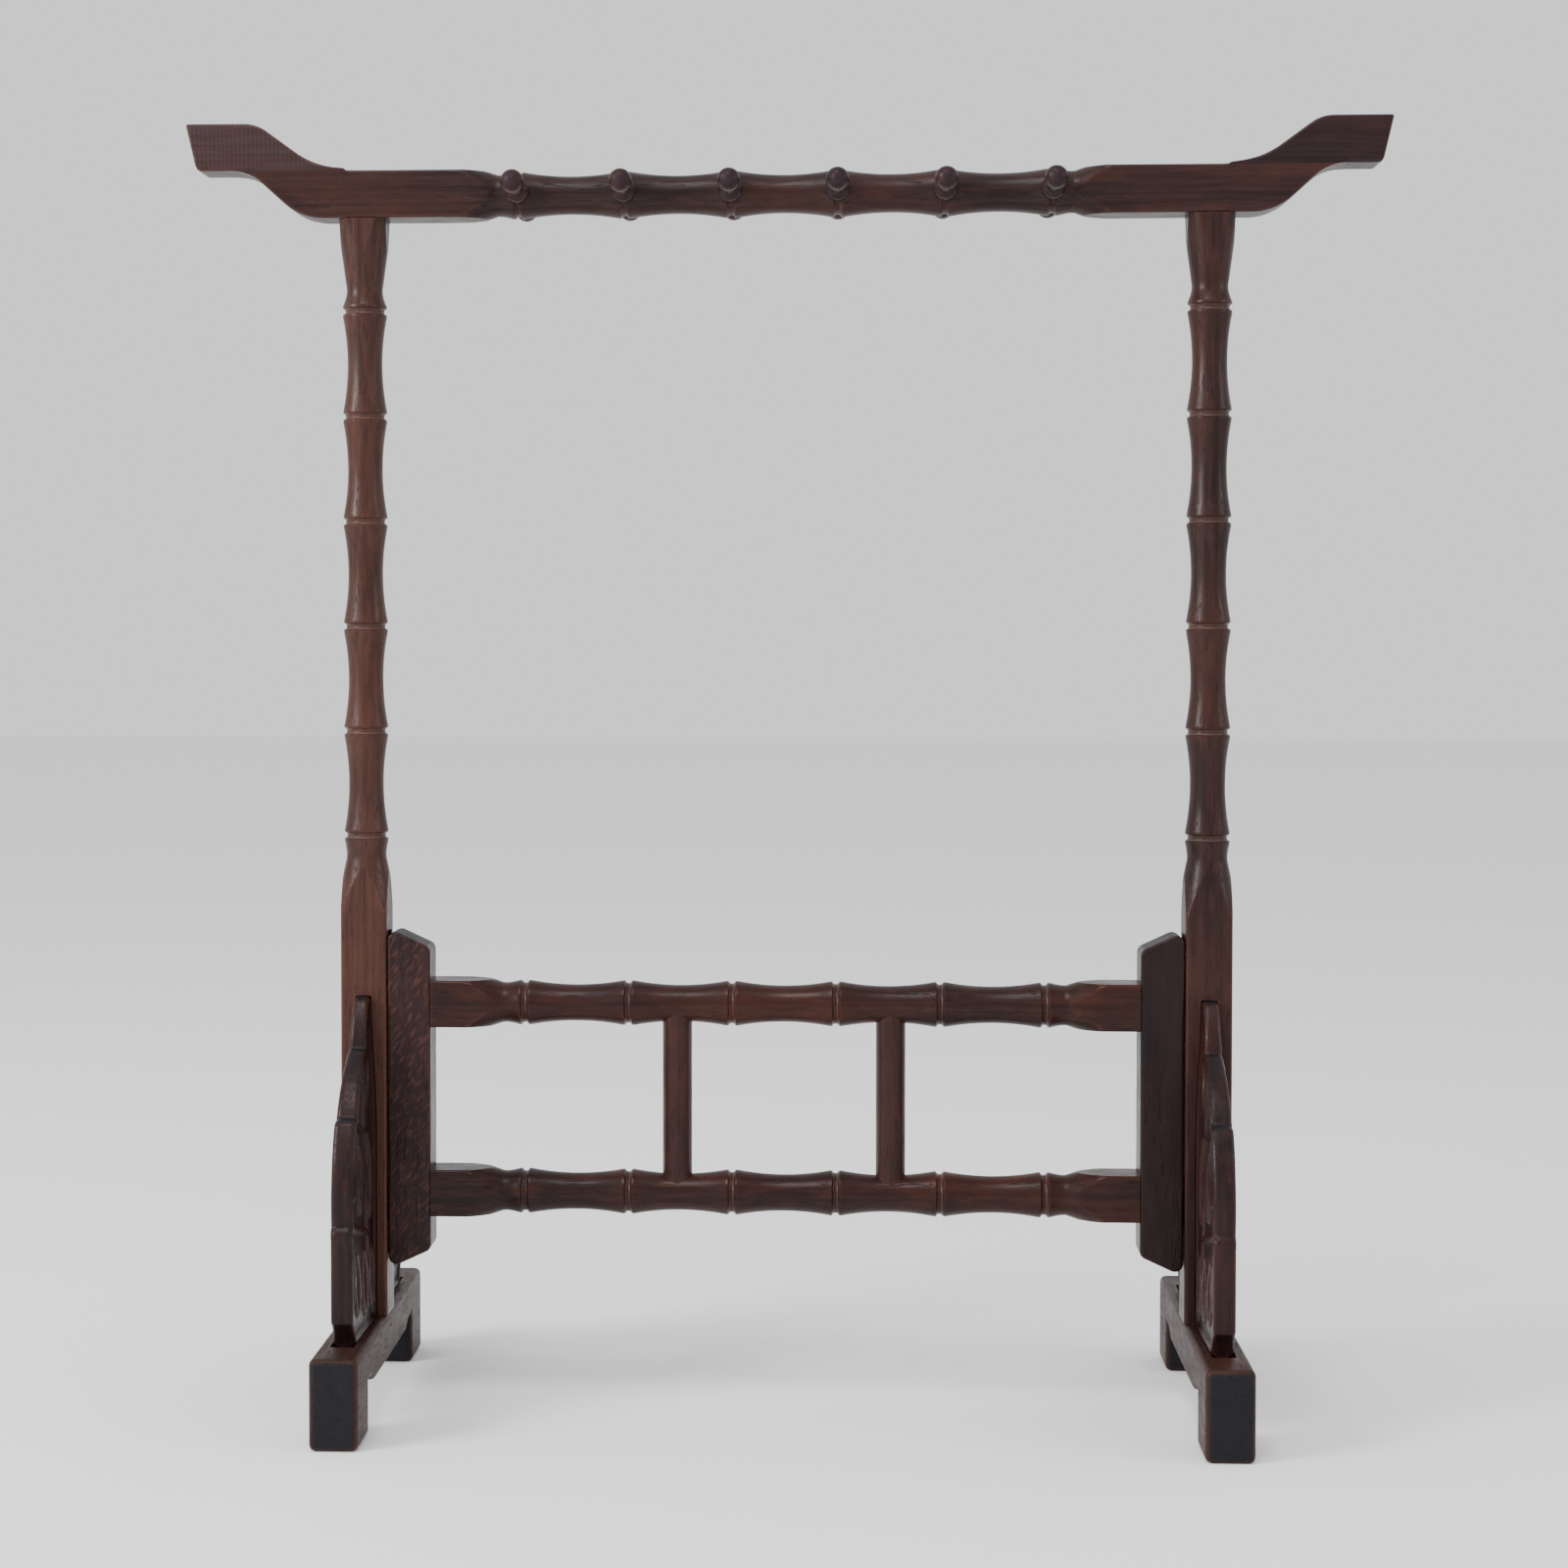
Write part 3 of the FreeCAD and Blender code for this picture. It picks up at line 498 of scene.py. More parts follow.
@dataclass(frozen=True)
class OiledWenge:
    """Wenge, sawn, carved by hand, rubbed with oil and polished to a satin sheen.

    Broad pale and dark bands follow the growth of the tree, long open pores show as dark dashes, end grain
    drinks the oil and goes grey and dull, and the edges are painted redder and lighter, as wear and as a
    painted highlight, and made smoother. Hollows are painted paler in plain grooves, and near-black as
    painted shade in some finishes.
    Wood under oil has an IOR near 1.5 and a roughness of 0.4 to 0.6.
    """

    name: str
    ground: str = "#301d1b"        # between the bands
    band: str = "#190f0e"          # dark bands
    heart: str = "#3e221b"         # broad redder patches of heartwood
    pore: str = "#0c0605"
    rubbed: str = "#4d2b22"        # red of worn edges, laid on the edges also as a painted highlight; the flecks, the crowns of the curl and the painted highlight on plane ridges use it too
    hollow_tone_and_shade: str = "#70564f"       # laid in the deepest part of grooves and hollows: pale here, near-black painted shade where a finish sets it dark
    hollow_tone_and_shade_share: float = 0.5
    cut_end: str = "#15171c"
    sheen: float = 0.32            # roughness of a polished face
    figure: Figure = Figure.STRAIGHT
    band_width: float = 1.5        # millimetres across the grain; growth rings of wenge are 1 to 3
    band_length: float = 70.0
    fibre_width: float = 0.5       # real fibres are 0.02; drawn as coarse as the eye can pick out
    fibre_length: float = 14.0
    pore_width: float = 0.5        # real pores are 0.2; drawn coarser so that they show
    pore_length: float = 6.0
    curl: float = 0.14             # how strongly the curl of the fibres shows
    mottle_width: float = 3.2
    mottle_length: float = 9.0
    cloud: float = 26.0            # size of the broad changes of tone
    fleck_width: float = 0.9       # rays cut by the face
    fleck_length: float = 3.5
    ripple_pitch: float = 1.3      # steps of the plane
    relief: float = 0.09           # depth of the pores
    band_share: float = 0.8        # from here on: how strongly each mark covers what lies under it
    fibre_share: float = 0.4
    heart_share: float = 0.45
    pore_share: float = 0.45
    end_share: float = 0.9
    end_pore_share: float = 0.6
    edge_wear_and_highlight_share: float = 0.35
    ripple_highlight_share: float = 0.1
    fleck_share: float = 0.6
    dip_gain: float = 1.6          # the dips of the curl show more than its crowns
    level: float = 0.15            # specular level: thin oil over open pores gives a weak highlight

    def material(self, grain: Axis, lot: int) -> bpy.types.Material:
        """The finish for a piece.

        Args:
            grain: The direction in which the fibres of the piece run.
            lot: The part of the plank that the piece was cut from, which moves every pattern.

        Returns:
            The new material.
        """
        paint = bpy.data.materials.new(f"{self.name}_{grain.name.lower()}_{lot}")
        paint.use_nodes = True
        tree = paint.node_tree
        tree.nodes.clear()
        here = add_node(tree, "TexCoord")
        place = self._wavy(tree, here.outputs["Object"], lot)
        bands = self._streaks(tree, place, grain, self.band_width, self.band_length, lot, 3.0)
        fibres = self._streaks(tree, place, grain, self.fibre_width, self.fibre_length, lot + 7, 2.0)
        pores = self._streaks(tree, place, grain, self.pore_width, self.pore_length, lot + 13, 1.0)
        mottle = self._streaks(tree, place, grain, self.mottle_width, self.mottle_length, lot + 16, 3.0)
        clouds = self._streaks(tree, place, grain, self.cloud, 3 * self.cloud, lot + 19, 2.0)

        band_mask = self._scaled(tree, self._ramp(tree, bands, *BANDS), self.band_share)
        colour = self._blend(tree, band_mask, linear(self.ground), linear(self.band))
        fibre_mask = self._scaled(tree, self._ramp(tree, fibres, *FIBRES), self.fibre_share)
        colour = self._blend(tree, fibre_mask, colour, linear(self.band))
        cloud_tone = self._ramp(tree, clouds, *CLOUDS)
        patches = self._scaled(tree, cloud_tone, self.heart_share)
        colour = self._blend(tree, patches, colour, linear(self.heart))
        dip = self._ramp(tree, mottle, *DIPS)
        dip = self._scaled(tree, dip, self.dip_gain * self.curl)
        colour = self._blend(tree, dip, colour, linear(self.band))
        crown = self._ramp(tree, mottle, *CROWNS)
        colour = self._blend(tree, self._scaled(tree, crown, self.curl), colour, linear(self.rubbed))
        height = self._scaled(tree, fibre_mask, -0.5)
        if self.figure is Figure.FEATHER:
            colour = self._flecked(tree, place, colour, lot)
        if self.figure is Figure.RIPPLE:
            ripple = self._rippled(tree, place)
            # The ridges of the plane marks are painted lighter and redder: a painted highlight on the
            # ridges, besides their bump.
            lit = self._scaled(tree, ripple, self.ripple_highlight_share)
            colour = self._blend(tree, lit, colour, linear(self.rubbed))
            height = add_node(tree, "Math", {0: height, 1: self._scaled(tree, ripple, 0.5)}).outputs[0]
        pore_mask = self._ramp(tree, pores, *PORES)
        dashes = self._scaled(tree, pore_mask, self.pore_share)
        colour = self._blend(tree, dashes, colour, linear(self.pore))
        height = add_node(tree, "Math", {0: height, 1: pore_mask}, operation="SUBTRACT").outputs[0]

        across_end = self._end_grain(tree, here.outputs["Normal"], grain)
        dots = self._scaled(tree, pore_mask, self.end_pore_share)
        speckle = self._blend(tree, dots, linear(self.cut_end), linear(self.pore))
        colour = self._blend(tree, self._scaled(tree, across_end, self.end_share), colour, speckle)
        # Hollows: paler in the deepest part of plain grooves, and near-black painted shade where a finish
        # sets this colour dark.
        hollow = add_node(tree, "Attribute", attribute_name="hollow").outputs["Fac"]
        hollow_tone_and_shade_mask = self._scaled(tree, self._ramp(tree, hollow, *HOLLOWS), self.hollow_tone_and_shade_share)
        colour = self._blend(tree, hollow_tone_and_shade_mask, colour, linear(self.hollow_tone_and_shade))
        # Convex edges are painted redder and lighter: partly wear, partly a painted highlight along the
        # arrises.
        edge = add_node(tree, "Attribute", attribute_name="edge").outputs["Fac"]
        edge_wear_and_highlight = add_node(tree, "Math", {0: edge, 1: self._ramp(tree, clouds, *WORN_AND_HIGHLIT_EDGES)},
                       operation="MULTIPLY").outputs[0]
        colour = self._blend(tree, self._scaled(tree, edge_wear_and_highlight, self.edge_wear_and_highlight_share), colour, linear(self.rubbed))

        # Curl changes the polish a little; open pores and end grain are duller, rubbed edges smoother.
        least, most = self.sheen - 0.12, self.sheen + 0.16
        rough = add_node(tree, "MapRange", {0: mottle, 3: least, 4: most}).outputs[0]
        rough = add_node(tree, "Math", {0: rough, 1: self._scaled(tree, pore_mask, 0.2)}).outputs[0]
        rough = add_node(tree, "Math", {0: rough, 1: self._scaled(tree, across_end, 0.16)}).outputs[0]
        rough = add_node(tree, "Math", {0: rough, 1: self._scaled(tree, edge_wear_and_highlight, 0.10)},
                         operation="SUBTRACT", use_clamp=True).outputs[0]
        bump = add_node(tree, "Bump", {"Strength": 0.7, "Distance": self.relief * MM, "Height": height})
        shader = add_node(tree, "BsdfPrincipled", {
            "Base Color": colour, "Roughness": rough, "Normal": bump.outputs[0],
            "IOR": 1.5, "Specular IOR Level": self.level})
        add_node(tree, "OutputMaterial", {"Surface": shader.outputs[0]})
        return paint

    @staticmethod
    def _ramp(tree: bpy.types.NodeTree, value: Any, low: float, high: float) -> bpy.types.NodeSocket:
        """Spread the part of a pattern between low and high over 0 to 1."""
        spread = add_node(tree, "MapRange", {0: value, 1: low, 2: high}, interpolation_type="SMOOTHSTEP")
        return spread.outputs[0]

    @staticmethod
    def _scaled(tree: bpy.types.NodeTree, value: Any, share: float) -> bpy.types.NodeSocket:
        """A pattern made weaker by a share."""
        return add_node(tree, "Math", {0: value, 1: share}, operation="MULTIPLY").outputs[0]

    @staticmethod
    def _blend(tree: bpy.types.NodeTree, mask: Any, under: Any, over: Any) -> bpy.types.NodeSocket:
        """Lay one colour over another where the mask is 1."""
        return add_node(tree, "Mix", {0: mask, 6: under, 7: over}, data_type="RGBA").outputs[2]

    @staticmethod
    def _wavy(tree: bpy.types.NodeTree, place: Any, lot: int) -> bpy.types.NodeSocket:
        """Places bent by a slow wave, because no tree grows straight.

        Args:
            tree: The node tree to add to.
            place: The places to bend.
            lot: Moves the wave.

        Returns:
            The bent places.
        """
        wave_size, wave_depth = 45 * MM, 2.4 * MM
        wave = add_node(tree, "TexNoise", {"Vector": place, "W": lot * 1.7, "Scale": 1 / wave_size,
                                           "Detail": 1.0}, noise_dimensions="4D")
        centred = add_node(tree, "VectorMath", {0: wave.outputs["Color"], 1: (0.5, 0.5, 0.5)},
                           operation="SUBTRACT")
        shallow = add_node(tree, "VectorMath", {0: centred.outputs[0], "Scale": wave_depth},
                           operation="SCALE")
        return add_node(tree, "VectorMath", {0: place, 1: shallow.outputs[0]}).outputs[0]

    @staticmethod
    def _streaks(tree: bpy.types.NodeTree, place: Any, grain: Axis, width: float, length: float,
                 lot: int, detail: float) -> bpy.types.NodeSocket:
        """Noise drawn out along the grain.

        Args:
            tree: The node tree to add to.
            place: Where the pattern is read.
            grain: The direction of the fibres.
            width: Width of a streak, in millimetres.
            length: Length of a streak, in millimetres.
            lot: Moves the pattern.
            detail: How ragged a streak is.

        Returns:
            The noise, from 0 to 1.
        """
        scale = [1 / (width * MM)] * 3
        scale[grain.value] = 1 / (length * MM)
        stretched = add_node(tree, "Mapping", {"Vector": place, "Scale": scale})
        drawn = add_node(tree, "TexNoise", {"Vector": stretched.outputs[0], "W": lot * 3.1, "Scale": 1.0,
                                            "Detail": detail}, noise_dimensions="4D")
        return drawn.outputs[0]

    @staticmethod
    def _end_grain(tree: bpy.types.NodeTree, normal: Any, grain: Axis) -> bpy.types.NodeSocket:
        """1 on faces cut across the fibres, 0 on faces along them.

        Args:
            tree: The node tree to add to.
            normal: The direction of the face.
            grain: The direction of the fibres.

        Returns:
            The mask.
        """
        way = [0.0, 0.0, 0.0]
        way[grain.value] = 1.0
        along = add_node(tree, "VectorMath", {0: normal, 1: way}, operation="DOT_PRODUCT")
        steep = add_node(tree, "Math", {0: along.outputs["Value"]}, operation="ABSOLUTE")
        return OiledWenge._ramp(tree, steep.outputs[0], *END_FACES)

    def _flecked(self, tree: bpy.types.NodeTree, place: Any, colour: Any, lot: int) -> bpy.types.NodeSocket:
        """Reddish flecks that fall across the face at a slant.

        Args:
            tree: The node tree to add to.
            place: Where the flecks are read.
            colour: The colour under them.
            lot: Moves the flecks.

        Returns:
            The colour with its flecks.
        """
        slant = math.radians(34)
        size = (self.fleck_width * MM, self.fleck_width * MM, self.fleck_length * MM)
        turned = add_node(tree, "Mapping", {"Vector": place, "Rotation": (0.0, slant, 0.0), "Scale": size},
                          vector_type="TEXTURE")
        drawn = add_node(tree, "TexNoise", {"Vector": turned.outputs[0], "W": lot * 5.3, "Scale": 1.0,
                                            "Detail": 2.0}, noise_dimensions="4D")
        mask = self._ramp(tree, drawn.outputs[0], *FLECKS)
        return self._blend(tree, self._scaled(tree, mask, self.fleck_share), colour, linear(self.rubbed))

    def _rippled(self, tree: bpy.types.NodeTree, place: Any) -> bpy.types.NodeSocket:
        """Ridges across the grain, left by the plane.

        Args:
            tree: The node tree to add to.
            place: Where the ridges are read.

        Returns:
            1 on a ridge, 0 between ridges.
        """
        turns = add_node(tree, "VectorMath", {0: place, "Scale": math.tau / (self.ripple_pitch * MM)},
                         operation="SCALE")
        across = add_node(tree, "SeparateXYZ", {0: turns.outputs[0]})
        swing = add_node(tree, "Math", {0: across.outputs[0]}, operation="SINE")
        return self._ramp(tree, swing.outputs[0], *RIPPLES)


@dataclass(frozen=True)
class StudioPaper:
    """Matt white background paper: bright, without gloss. Paper has an IOR near 1.5 and is fully rough."""

    tint: str = "#fafaf9"
    mottle: str = "#f5f5f4"
    fibre: float = 2.0             # clumps of pulp, millimetres

    def material(self) -> bpy.types.Material:
        """The floor's finish."""
        paint = bpy.data.materials.new("studio_paper")
        paint.use_nodes = True
        tree = paint.node_tree
        tree.nodes.clear()
        here = add_node(tree, "TexCoord")
        pulp = add_node(tree, "TexNoise", {"Vector": here.outputs["Object"],
                                           "Scale": 1 / (self.fibre * MM)})
        colour = add_node(tree, "Mix", {0: pulp.outputs[0], 6: linear(self.tint), 7: linear(self.mottle)},
                          data_type="RGBA").outputs[2]
        shader = add_node(tree, "BsdfPrincipled", {"Base Color": colour, "Roughness": 0.95, "IOR": 1.5})
        add_node(tree, "OutputMaterial", {"Surface": shader.outputs[0]})
        return paint


# Right post: plain sawn wenge, evenly oiled.
WENGE = OiledWenge("oiled_wenge")
# Beam and spindles: a shade cooler, with the grooves paled less.
BAR_WENGE = OiledWenge("bar_oiled_wenge", ground="#2d1c1b", hollow_tone_and_shade_share=0.2)
# Rails: redder and the most polished, because hands and brushes pass over them.
RAIL_WENGE = OiledWenge(
    "rail_oiled_wenge", ground="#2c1815", band="#180d0b", heart="#441f15", rubbed="#54291d", sheen=0.28)
# Left post: a paler, redder stick from near the sapwood.
RED_WENGE = OiledWenge(
    "red_oiled_wenge", ground="#422a24", band="#2a1915", heart="#4b2b21", rubbed="#5c372c")
# Right plate: nearly black heartwood.
DARK_WENGE = OiledWenge(
    "dark_oiled_wenge", ground="#1b1012", band="#110a0a", heart="#211210", rubbed="#33201b")
# Right tip: dark brown with a cool cast.
TIP_WENGE = OiledWenge(
    "brown_oiled_wenge", ground="#271a1c", band="#170e0f", heart="#2d1a18", rubbed="#3c2622")
# Left plate: cut on the quarter, so that the rays show as slanting flecks.
FEATHER_WENGE = OiledWenge(
    "feathered_oiled_wenge", ground="#231517", band="#150c0d", heart="#2a1614", rubbed="#4c2e27",
    figure=Figure.FEATHER)
# Left tip: greyer, with the marks of the plane left across its grain and a painted highlight on their
# ridges.
RIPPLE_WENGE = OiledWenge(
    "planed_oiled_wenge", ground="#35292c", band="#20171b", heart="#382622", figure=Figure.RIPPLE)
# Spandrels: the carved ground is painted near-black, as painted shade in its hollows.
CARVED_WENGE = OiledWenge(
    "carved_oiled_wenge", ground="#251616", band="#150d0d", heart="#331b16", hollow_tone_and_shade="#080404",
    hollow_tone_and_shade_share=0.8)
# Keys: bare planed wood, paler and dull, because oil would make them stick.
PLANED_KEY = OiledWenge("planed_key_wenge", ground="#4d2f24", band="#332019", sheen=0.6)
# Feet: duller from standing on a table, with near-black end grain and near-black painted shade in the
# hollows.
FOOT_WENGE = OiledWenge(
    "dull_oiled_wenge", ground="#2f1c18", band="#1c100d", heart="#3b2019", hollow_tone_and_shade="#0b0605",
    cut_end="#14161b", sheen=0.46)
# Pegs: turned, with the end grain of the ball heads burnished almost as brown as the rest; the waist under
# the head and the other hollows are painted near-black, as painted shade.
PEG_WENGE = OiledWenge(
    "turned_oiled_wenge", ground="#2a191c", band="#190e10", heart="#3b1d1a", hollow_tone_and_shade="#0b0606",
    cut_end="#291b20", sheen=0.32)


def dress(piece: bpy.types.Object, wood: OiledWenge, grain: Axis, lot: int, body: str, slot: str,
          *nodes: str) -> bpy.types.Object:
    """Give a finished piece its edge and hollow marks, material and body, and let it stand for its CAD
    nodes.

    Args:
        piece: The piece.
        wood: Its finish.
        grain: The direction in which its fibres run.
        lot: The part of the plank that it was cut from, so that no two pieces match.
        body: The body that it moves with.
        slot: Not used.
        nodes: The CAD nodes that it replaces.

    Returns:
        The same piece.
    """
    mark_edges_and_hollows(piece)
    piece.data.materials.clear()
    piece.data.materials.append(wood.material(grain, lot))
    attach(piece, body)
    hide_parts(*nodes)
    LOG.info("%s: %d points, %s along %s", piece.name, len(piece.data.vertices), wood.name, grain.name)
    return piece


def box_mm(node: str) -> tuple[Vector, Vector]:
    """The lowest and highest corners of a CAD node, in millimetres."""
    low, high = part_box(node)
    return low / MM, high / MM


# ---- bamboo turning ----

@dataclass(frozen=True)
class Bamboo:
    """A row of bamboo joints turned on square stock, measured along the bar in millimetres."""

    rings: tuple[float, ...]
    node: float                    # radius at a ring
    waist: float                   # radius midway between two rings
    low_end: tuple[Point, ...]     # (distance beyond the first ring, radius) of the run-out
    high_end: tuple[Point, ...]    # the same beyond the last ring
    band: float = 1.7              # half the plain band at a ring
    groove: float = 1.0            # half the width of the groove in it
    cut: float = 0.8               # its depth

    def radius(self, along: float) -> float:
        """The radius that the lathe left at a place.

        Args:
            along: The place along the bar.

        Returns:
            The radius, or infinity beyond the turning.
        """
        if along < self.rings[0] - self.band:
            return self._run_out(self.rings[0] - along, self.low_end)
        if along > self.rings[-1] + self.band:
            return self._run_out(along - self.rings[-1], self.high_end)
        nearest = min(self.rings, key=lambda ring: abs(ring - along))
        away = abs(along - nearest)
        if away <= self.groove:
            return self.node - self.cut * math.sqrt(1 - (away / self.groove) ** 2)
        if away <= self.band:
            return self.node
        below = max(ring for ring in self.rings if ring <= along)
        above = min(ring for ring in self.rings if ring > along)
        share = (along - below - self.band) / (above - below - 2 * self.band)
        return self.node - (self.node - self.waist) * 4 * share * (1 - share)

    @staticmethod
    def _run_out(away: float, end: tuple[Point, ...]) -> float:
        """The radius in the run-out from the last ring to the square.

        Args:
            away: Distance beyond the last ring.
            end: The run-out, as (distance, radius) from the ring outwards.

        Returns:
            The radius, or infinity beyond the turning.
        """
        if away > end[-1][0]:
            return math.inf
        (neck_at, neck), *rest = end[1:]
        start_at, start = end[0]
        if away <= neck_at:
            share = (away - start_at) / (neck_at - start_at)
            return start + (neck - start) * math.sin(share * math.pi / 2)
        before = (neck_at, neck)
        for corner in rest:
            if away <= corner[0]:
                share = (away - before[0]) / (corner[0] - before[0])
                return before[1] + (corner[1] - before[1]) * share
            before = corner
        return before[1]


def to_square(stock: float, node: float, neck: float, neck_reach: float,
              shoulder: float) -> tuple[Point, ...]:
    """The run-out of a turning into square stock.

    Args:
        stock: Width of the square.
        node: Radius at the last ring.
        neck: Radius of the neck beyond it.
        neck_reach: Distance of the neck from the ring.
        shoulder: Distance at which the turning has run out past the corners.

    Returns:
        The run-out, as (distance, radius) from the ring outwards.
    """
    corner = stock / math.sqrt(2) + CORNER_ROOM
    return (Bamboo.band, node), (neck_reach, neck), (shoulder, corner)


# ---- end frames ----

@dataclass
class EndFrame:
    """One end of the hanger: a post tenoned into a sledge foot, with a spandrel before and behind."""

    left: bool
    stock: float = 14.0
    arris: float = 0.9             # rounding of the post's long edges
    ring_pitch: float = 31.8
    top_ring: float = 27.7         # beam down to the highest ring
    node: float = 6.65
    waist: float = 5.25
    neck: float = 6.0
    collar: float = 5.4
    top: float = 8.3
    neck_reach: float = 6.5
    shoulder: float = 26.0
    tenon: float = 8.0
    tenon_round: float = 0.5
    top_tenon: float = 10.0
    foot_tenon: float = 9.0
    ring_count: int = 6
    slip: float = 0.15             # clearance round a key
    key_tail: float = 4.6          # length of a key's dovetail
    tail_half: float = 3.9
    neck_half: float = 2.6
    lift_room: float = 1.0
    housing: float = 1.5           # depth of the spandrels' grooves
    board: float = 8.0
    foot_sanding: float = 1.9
    foot_arch: float = 12.5
    arch_end: float = 15.5
    pad: float = 21.0
    arch_flat: float = 3.0
    arch_sweep: float = 9.0

    @property
    def side(self) -> str:
        """The word that starts the names of this frame's nodes."""
        return "left" if self.left else "right"

    @property
    def inwards(self) -> int:
        """1 where the middle of the hanger is towards +X."""
        return 1 if self.left else -1

    def build(self) -> None:
        """Make and dress the pieces of this end."""
        self._post()
        self._foot()
        for front in (True, False):
            Spandrel(self.left, front).build()

    def _post(self) -> None:
        """Bamboo-turned post with its two tenons, key slots and housings."""
        low, high = box_mm(f"{self.side}_post")
        middle = (low.x + high.x) / 2
        beam_bottom, foot_top = high.z - self.top_tenon, low.z + self.foot_tenon
        rings = [beam_bottom - self.top_ring - k * self.ring_pitch for k in range(self.ring_count)][::-1]
        turning = Bamboo(
            tuple(rings), self.node, self.waist,
            to_square(self.stock, self.node, self.neck, self.neck_reach, self.shoulder),
            ((Bamboo.band, self.node), (self.neck_reach, self.collar), (self.top_ring, self.top)))
        half, peg = self.stock / 2, self.tenon / 2
        rows = [(low.z, peg, self.tenon_round, math.inf), (foot_top, peg, self.tenon_round, math.inf)]
        turned_from = rings[0] - self.shoulder
        for height in stations(foot_top, beam_bottom, rings, (turned_from, *rings), coarse=1.2):
            rows.append((height, half, self.arris, turning.radius(height)))
        rows += [(beam_bottom, peg, self.tenon_round, math.inf), (high.z, peg, self.tenon_round, math.inf)]
        sections = [lay(section(size, size, arris, arris, turned), height, Axis.Z) + (middle, 0, 0)
                    for height, size, arris, turned in rows]
        post = new_piece(f"{self.side}_turned_post", loft("post", sections))
        carve(post, self._post_cutters(middle, half, foot_top))
        dress(post, RED_WENGE if self.left else WENGE, Axis.Z, 1 if self.left else 4,
              "end_frames", "wenge", f"{self.side}_post")

    def _post_cutters(self, middle: float, half: float, foot_top: float) -> list[bpy.types.Mesh]:
        """The hollows of a post: dovetail slots for the keys and grooves for the spandrels.

        Args:
            middle: Middle of the post from left to right.
            half: Half the width of its stock.
            foot_top: Height of the top of the foot.

        Returns:
            Closed meshes that don't meet each other.
        """
        cutters: list[bpy.types.Mesh] = []
        face = self.inwards * half
        end = self.inwards * (half - self.key_tail - self.slip)
        beyond = self.inwards * (half + 1)
        tail = self.tail_half + self.slip * (1 + (self.tail_half - self.neck_half) / self.key_tail)
        mouth = self.neck_half + self.slip
        for level in ("upper", "lower"):
            low, high = box_mm(f"{self.side}_{level}_key")
            slot = [(end, -tail), (face, -mouth), (beyond, -mouth),
                    (beyond, mouth), (face, mouth), (end, tail)]
            entry = [(end, -tail), (beyond, -tail), (beyond, tail), (end, tail)]
            seam = high.z + self.slip
            top = seam + (high.z - low.z) + self.lift_room + self.slip
            for shape, bottom, ceiling in ((slot, low.z, seam - CLEAR), (entry, seam, top)):
                placed = [(across + middle, depth) for across, depth in shape]
                cutters.append(prism("slot", placed, bottom, ceiling, Axis.Z))
        for way in (-1, 1):
            board_high = box_mm(f"{self.side}_{'front' if way < 0 else 'back'}_spandrel")[1]
            depths = sorted((way * (half - self.housing), way * (half + 1)))
            rings = []
            thinned = np.linspace(foot_top + Spandrel.thin_from, board_high.z, 8)
            for height in (foot_top + CLEAR, *thinned):
                reach = self.board / 2 * Spandrel.thinning(height - foot_top)
                ring = np.array(rectangle(middle - reach, middle + reach, *depths))
                rings.append(lay(ring, height, Axis.Z))
            cutters.append(loft("groove", rings))
        return cutters

    def _foot(self) -> None:
        """Sledge foot: an arch between two pads, sanded round at its corners."""
        low, high = box_mm(f"{self.side}_foot")
        middle = (low.x + high.x) / 2
        end, pad = high.y, high.y - self.pad
        rise = (self.arch_end - self.foot_arch) / 4
        shape = outline([
            (end, 0), (end, high.z), (-end, high.z), (-end, 0), (-pad, 0), (-pad, self.arch_end),
            (-pad + self.arch_flat, self.arch_end, rise),
            (-pad + self.arch_flat + self.arch_sweep, self.foot_arch),
            (pad - self.arch_flat - self.arch_sweep, self.foot_arch, rise),
            (pad - self.arch_flat, self.arch_end), (pad, self.arch_end), (pad, 0)])
        foot = new_piece(f"{self.side}_sledge_foot", prism("foot", shape, low.x, high.x, Axis.X))
        soften(foot, self.foot_sanding, clamp=False)
        post_half, peg = self.stock / 2, self.tenon / 2
        cutters = [prism("mortise", rectangle(middle - peg, middle + peg, -peg, peg),
                         high.z - self.foot_tenon, high.z + 1, Axis.Z)]
        for way in (-1, 1):
            near, far = way * (post_half - self.housing), way * (post_half + Spandrel.reach)
            wide, narrow = self.board / 2, self.board / 2 * Spandrel.taper
            seat = [(middle - wide, near), (middle + wide, near), (middle + wide, way * post_half),
                    (middle + narrow, far), (middle - narrow, far), (middle - wide, way * post_half)]
            cutters.append(prism("seat", seat[::way], high.z - self.housing, high.z + 1, Axis.Z))
        carve(foot, cutters)
        dress(foot, FOOT_WENGE, Axis.Y, 9 if self.left else 12, "end_frames", "foot_wenge",
              f"{self.side}_foot")


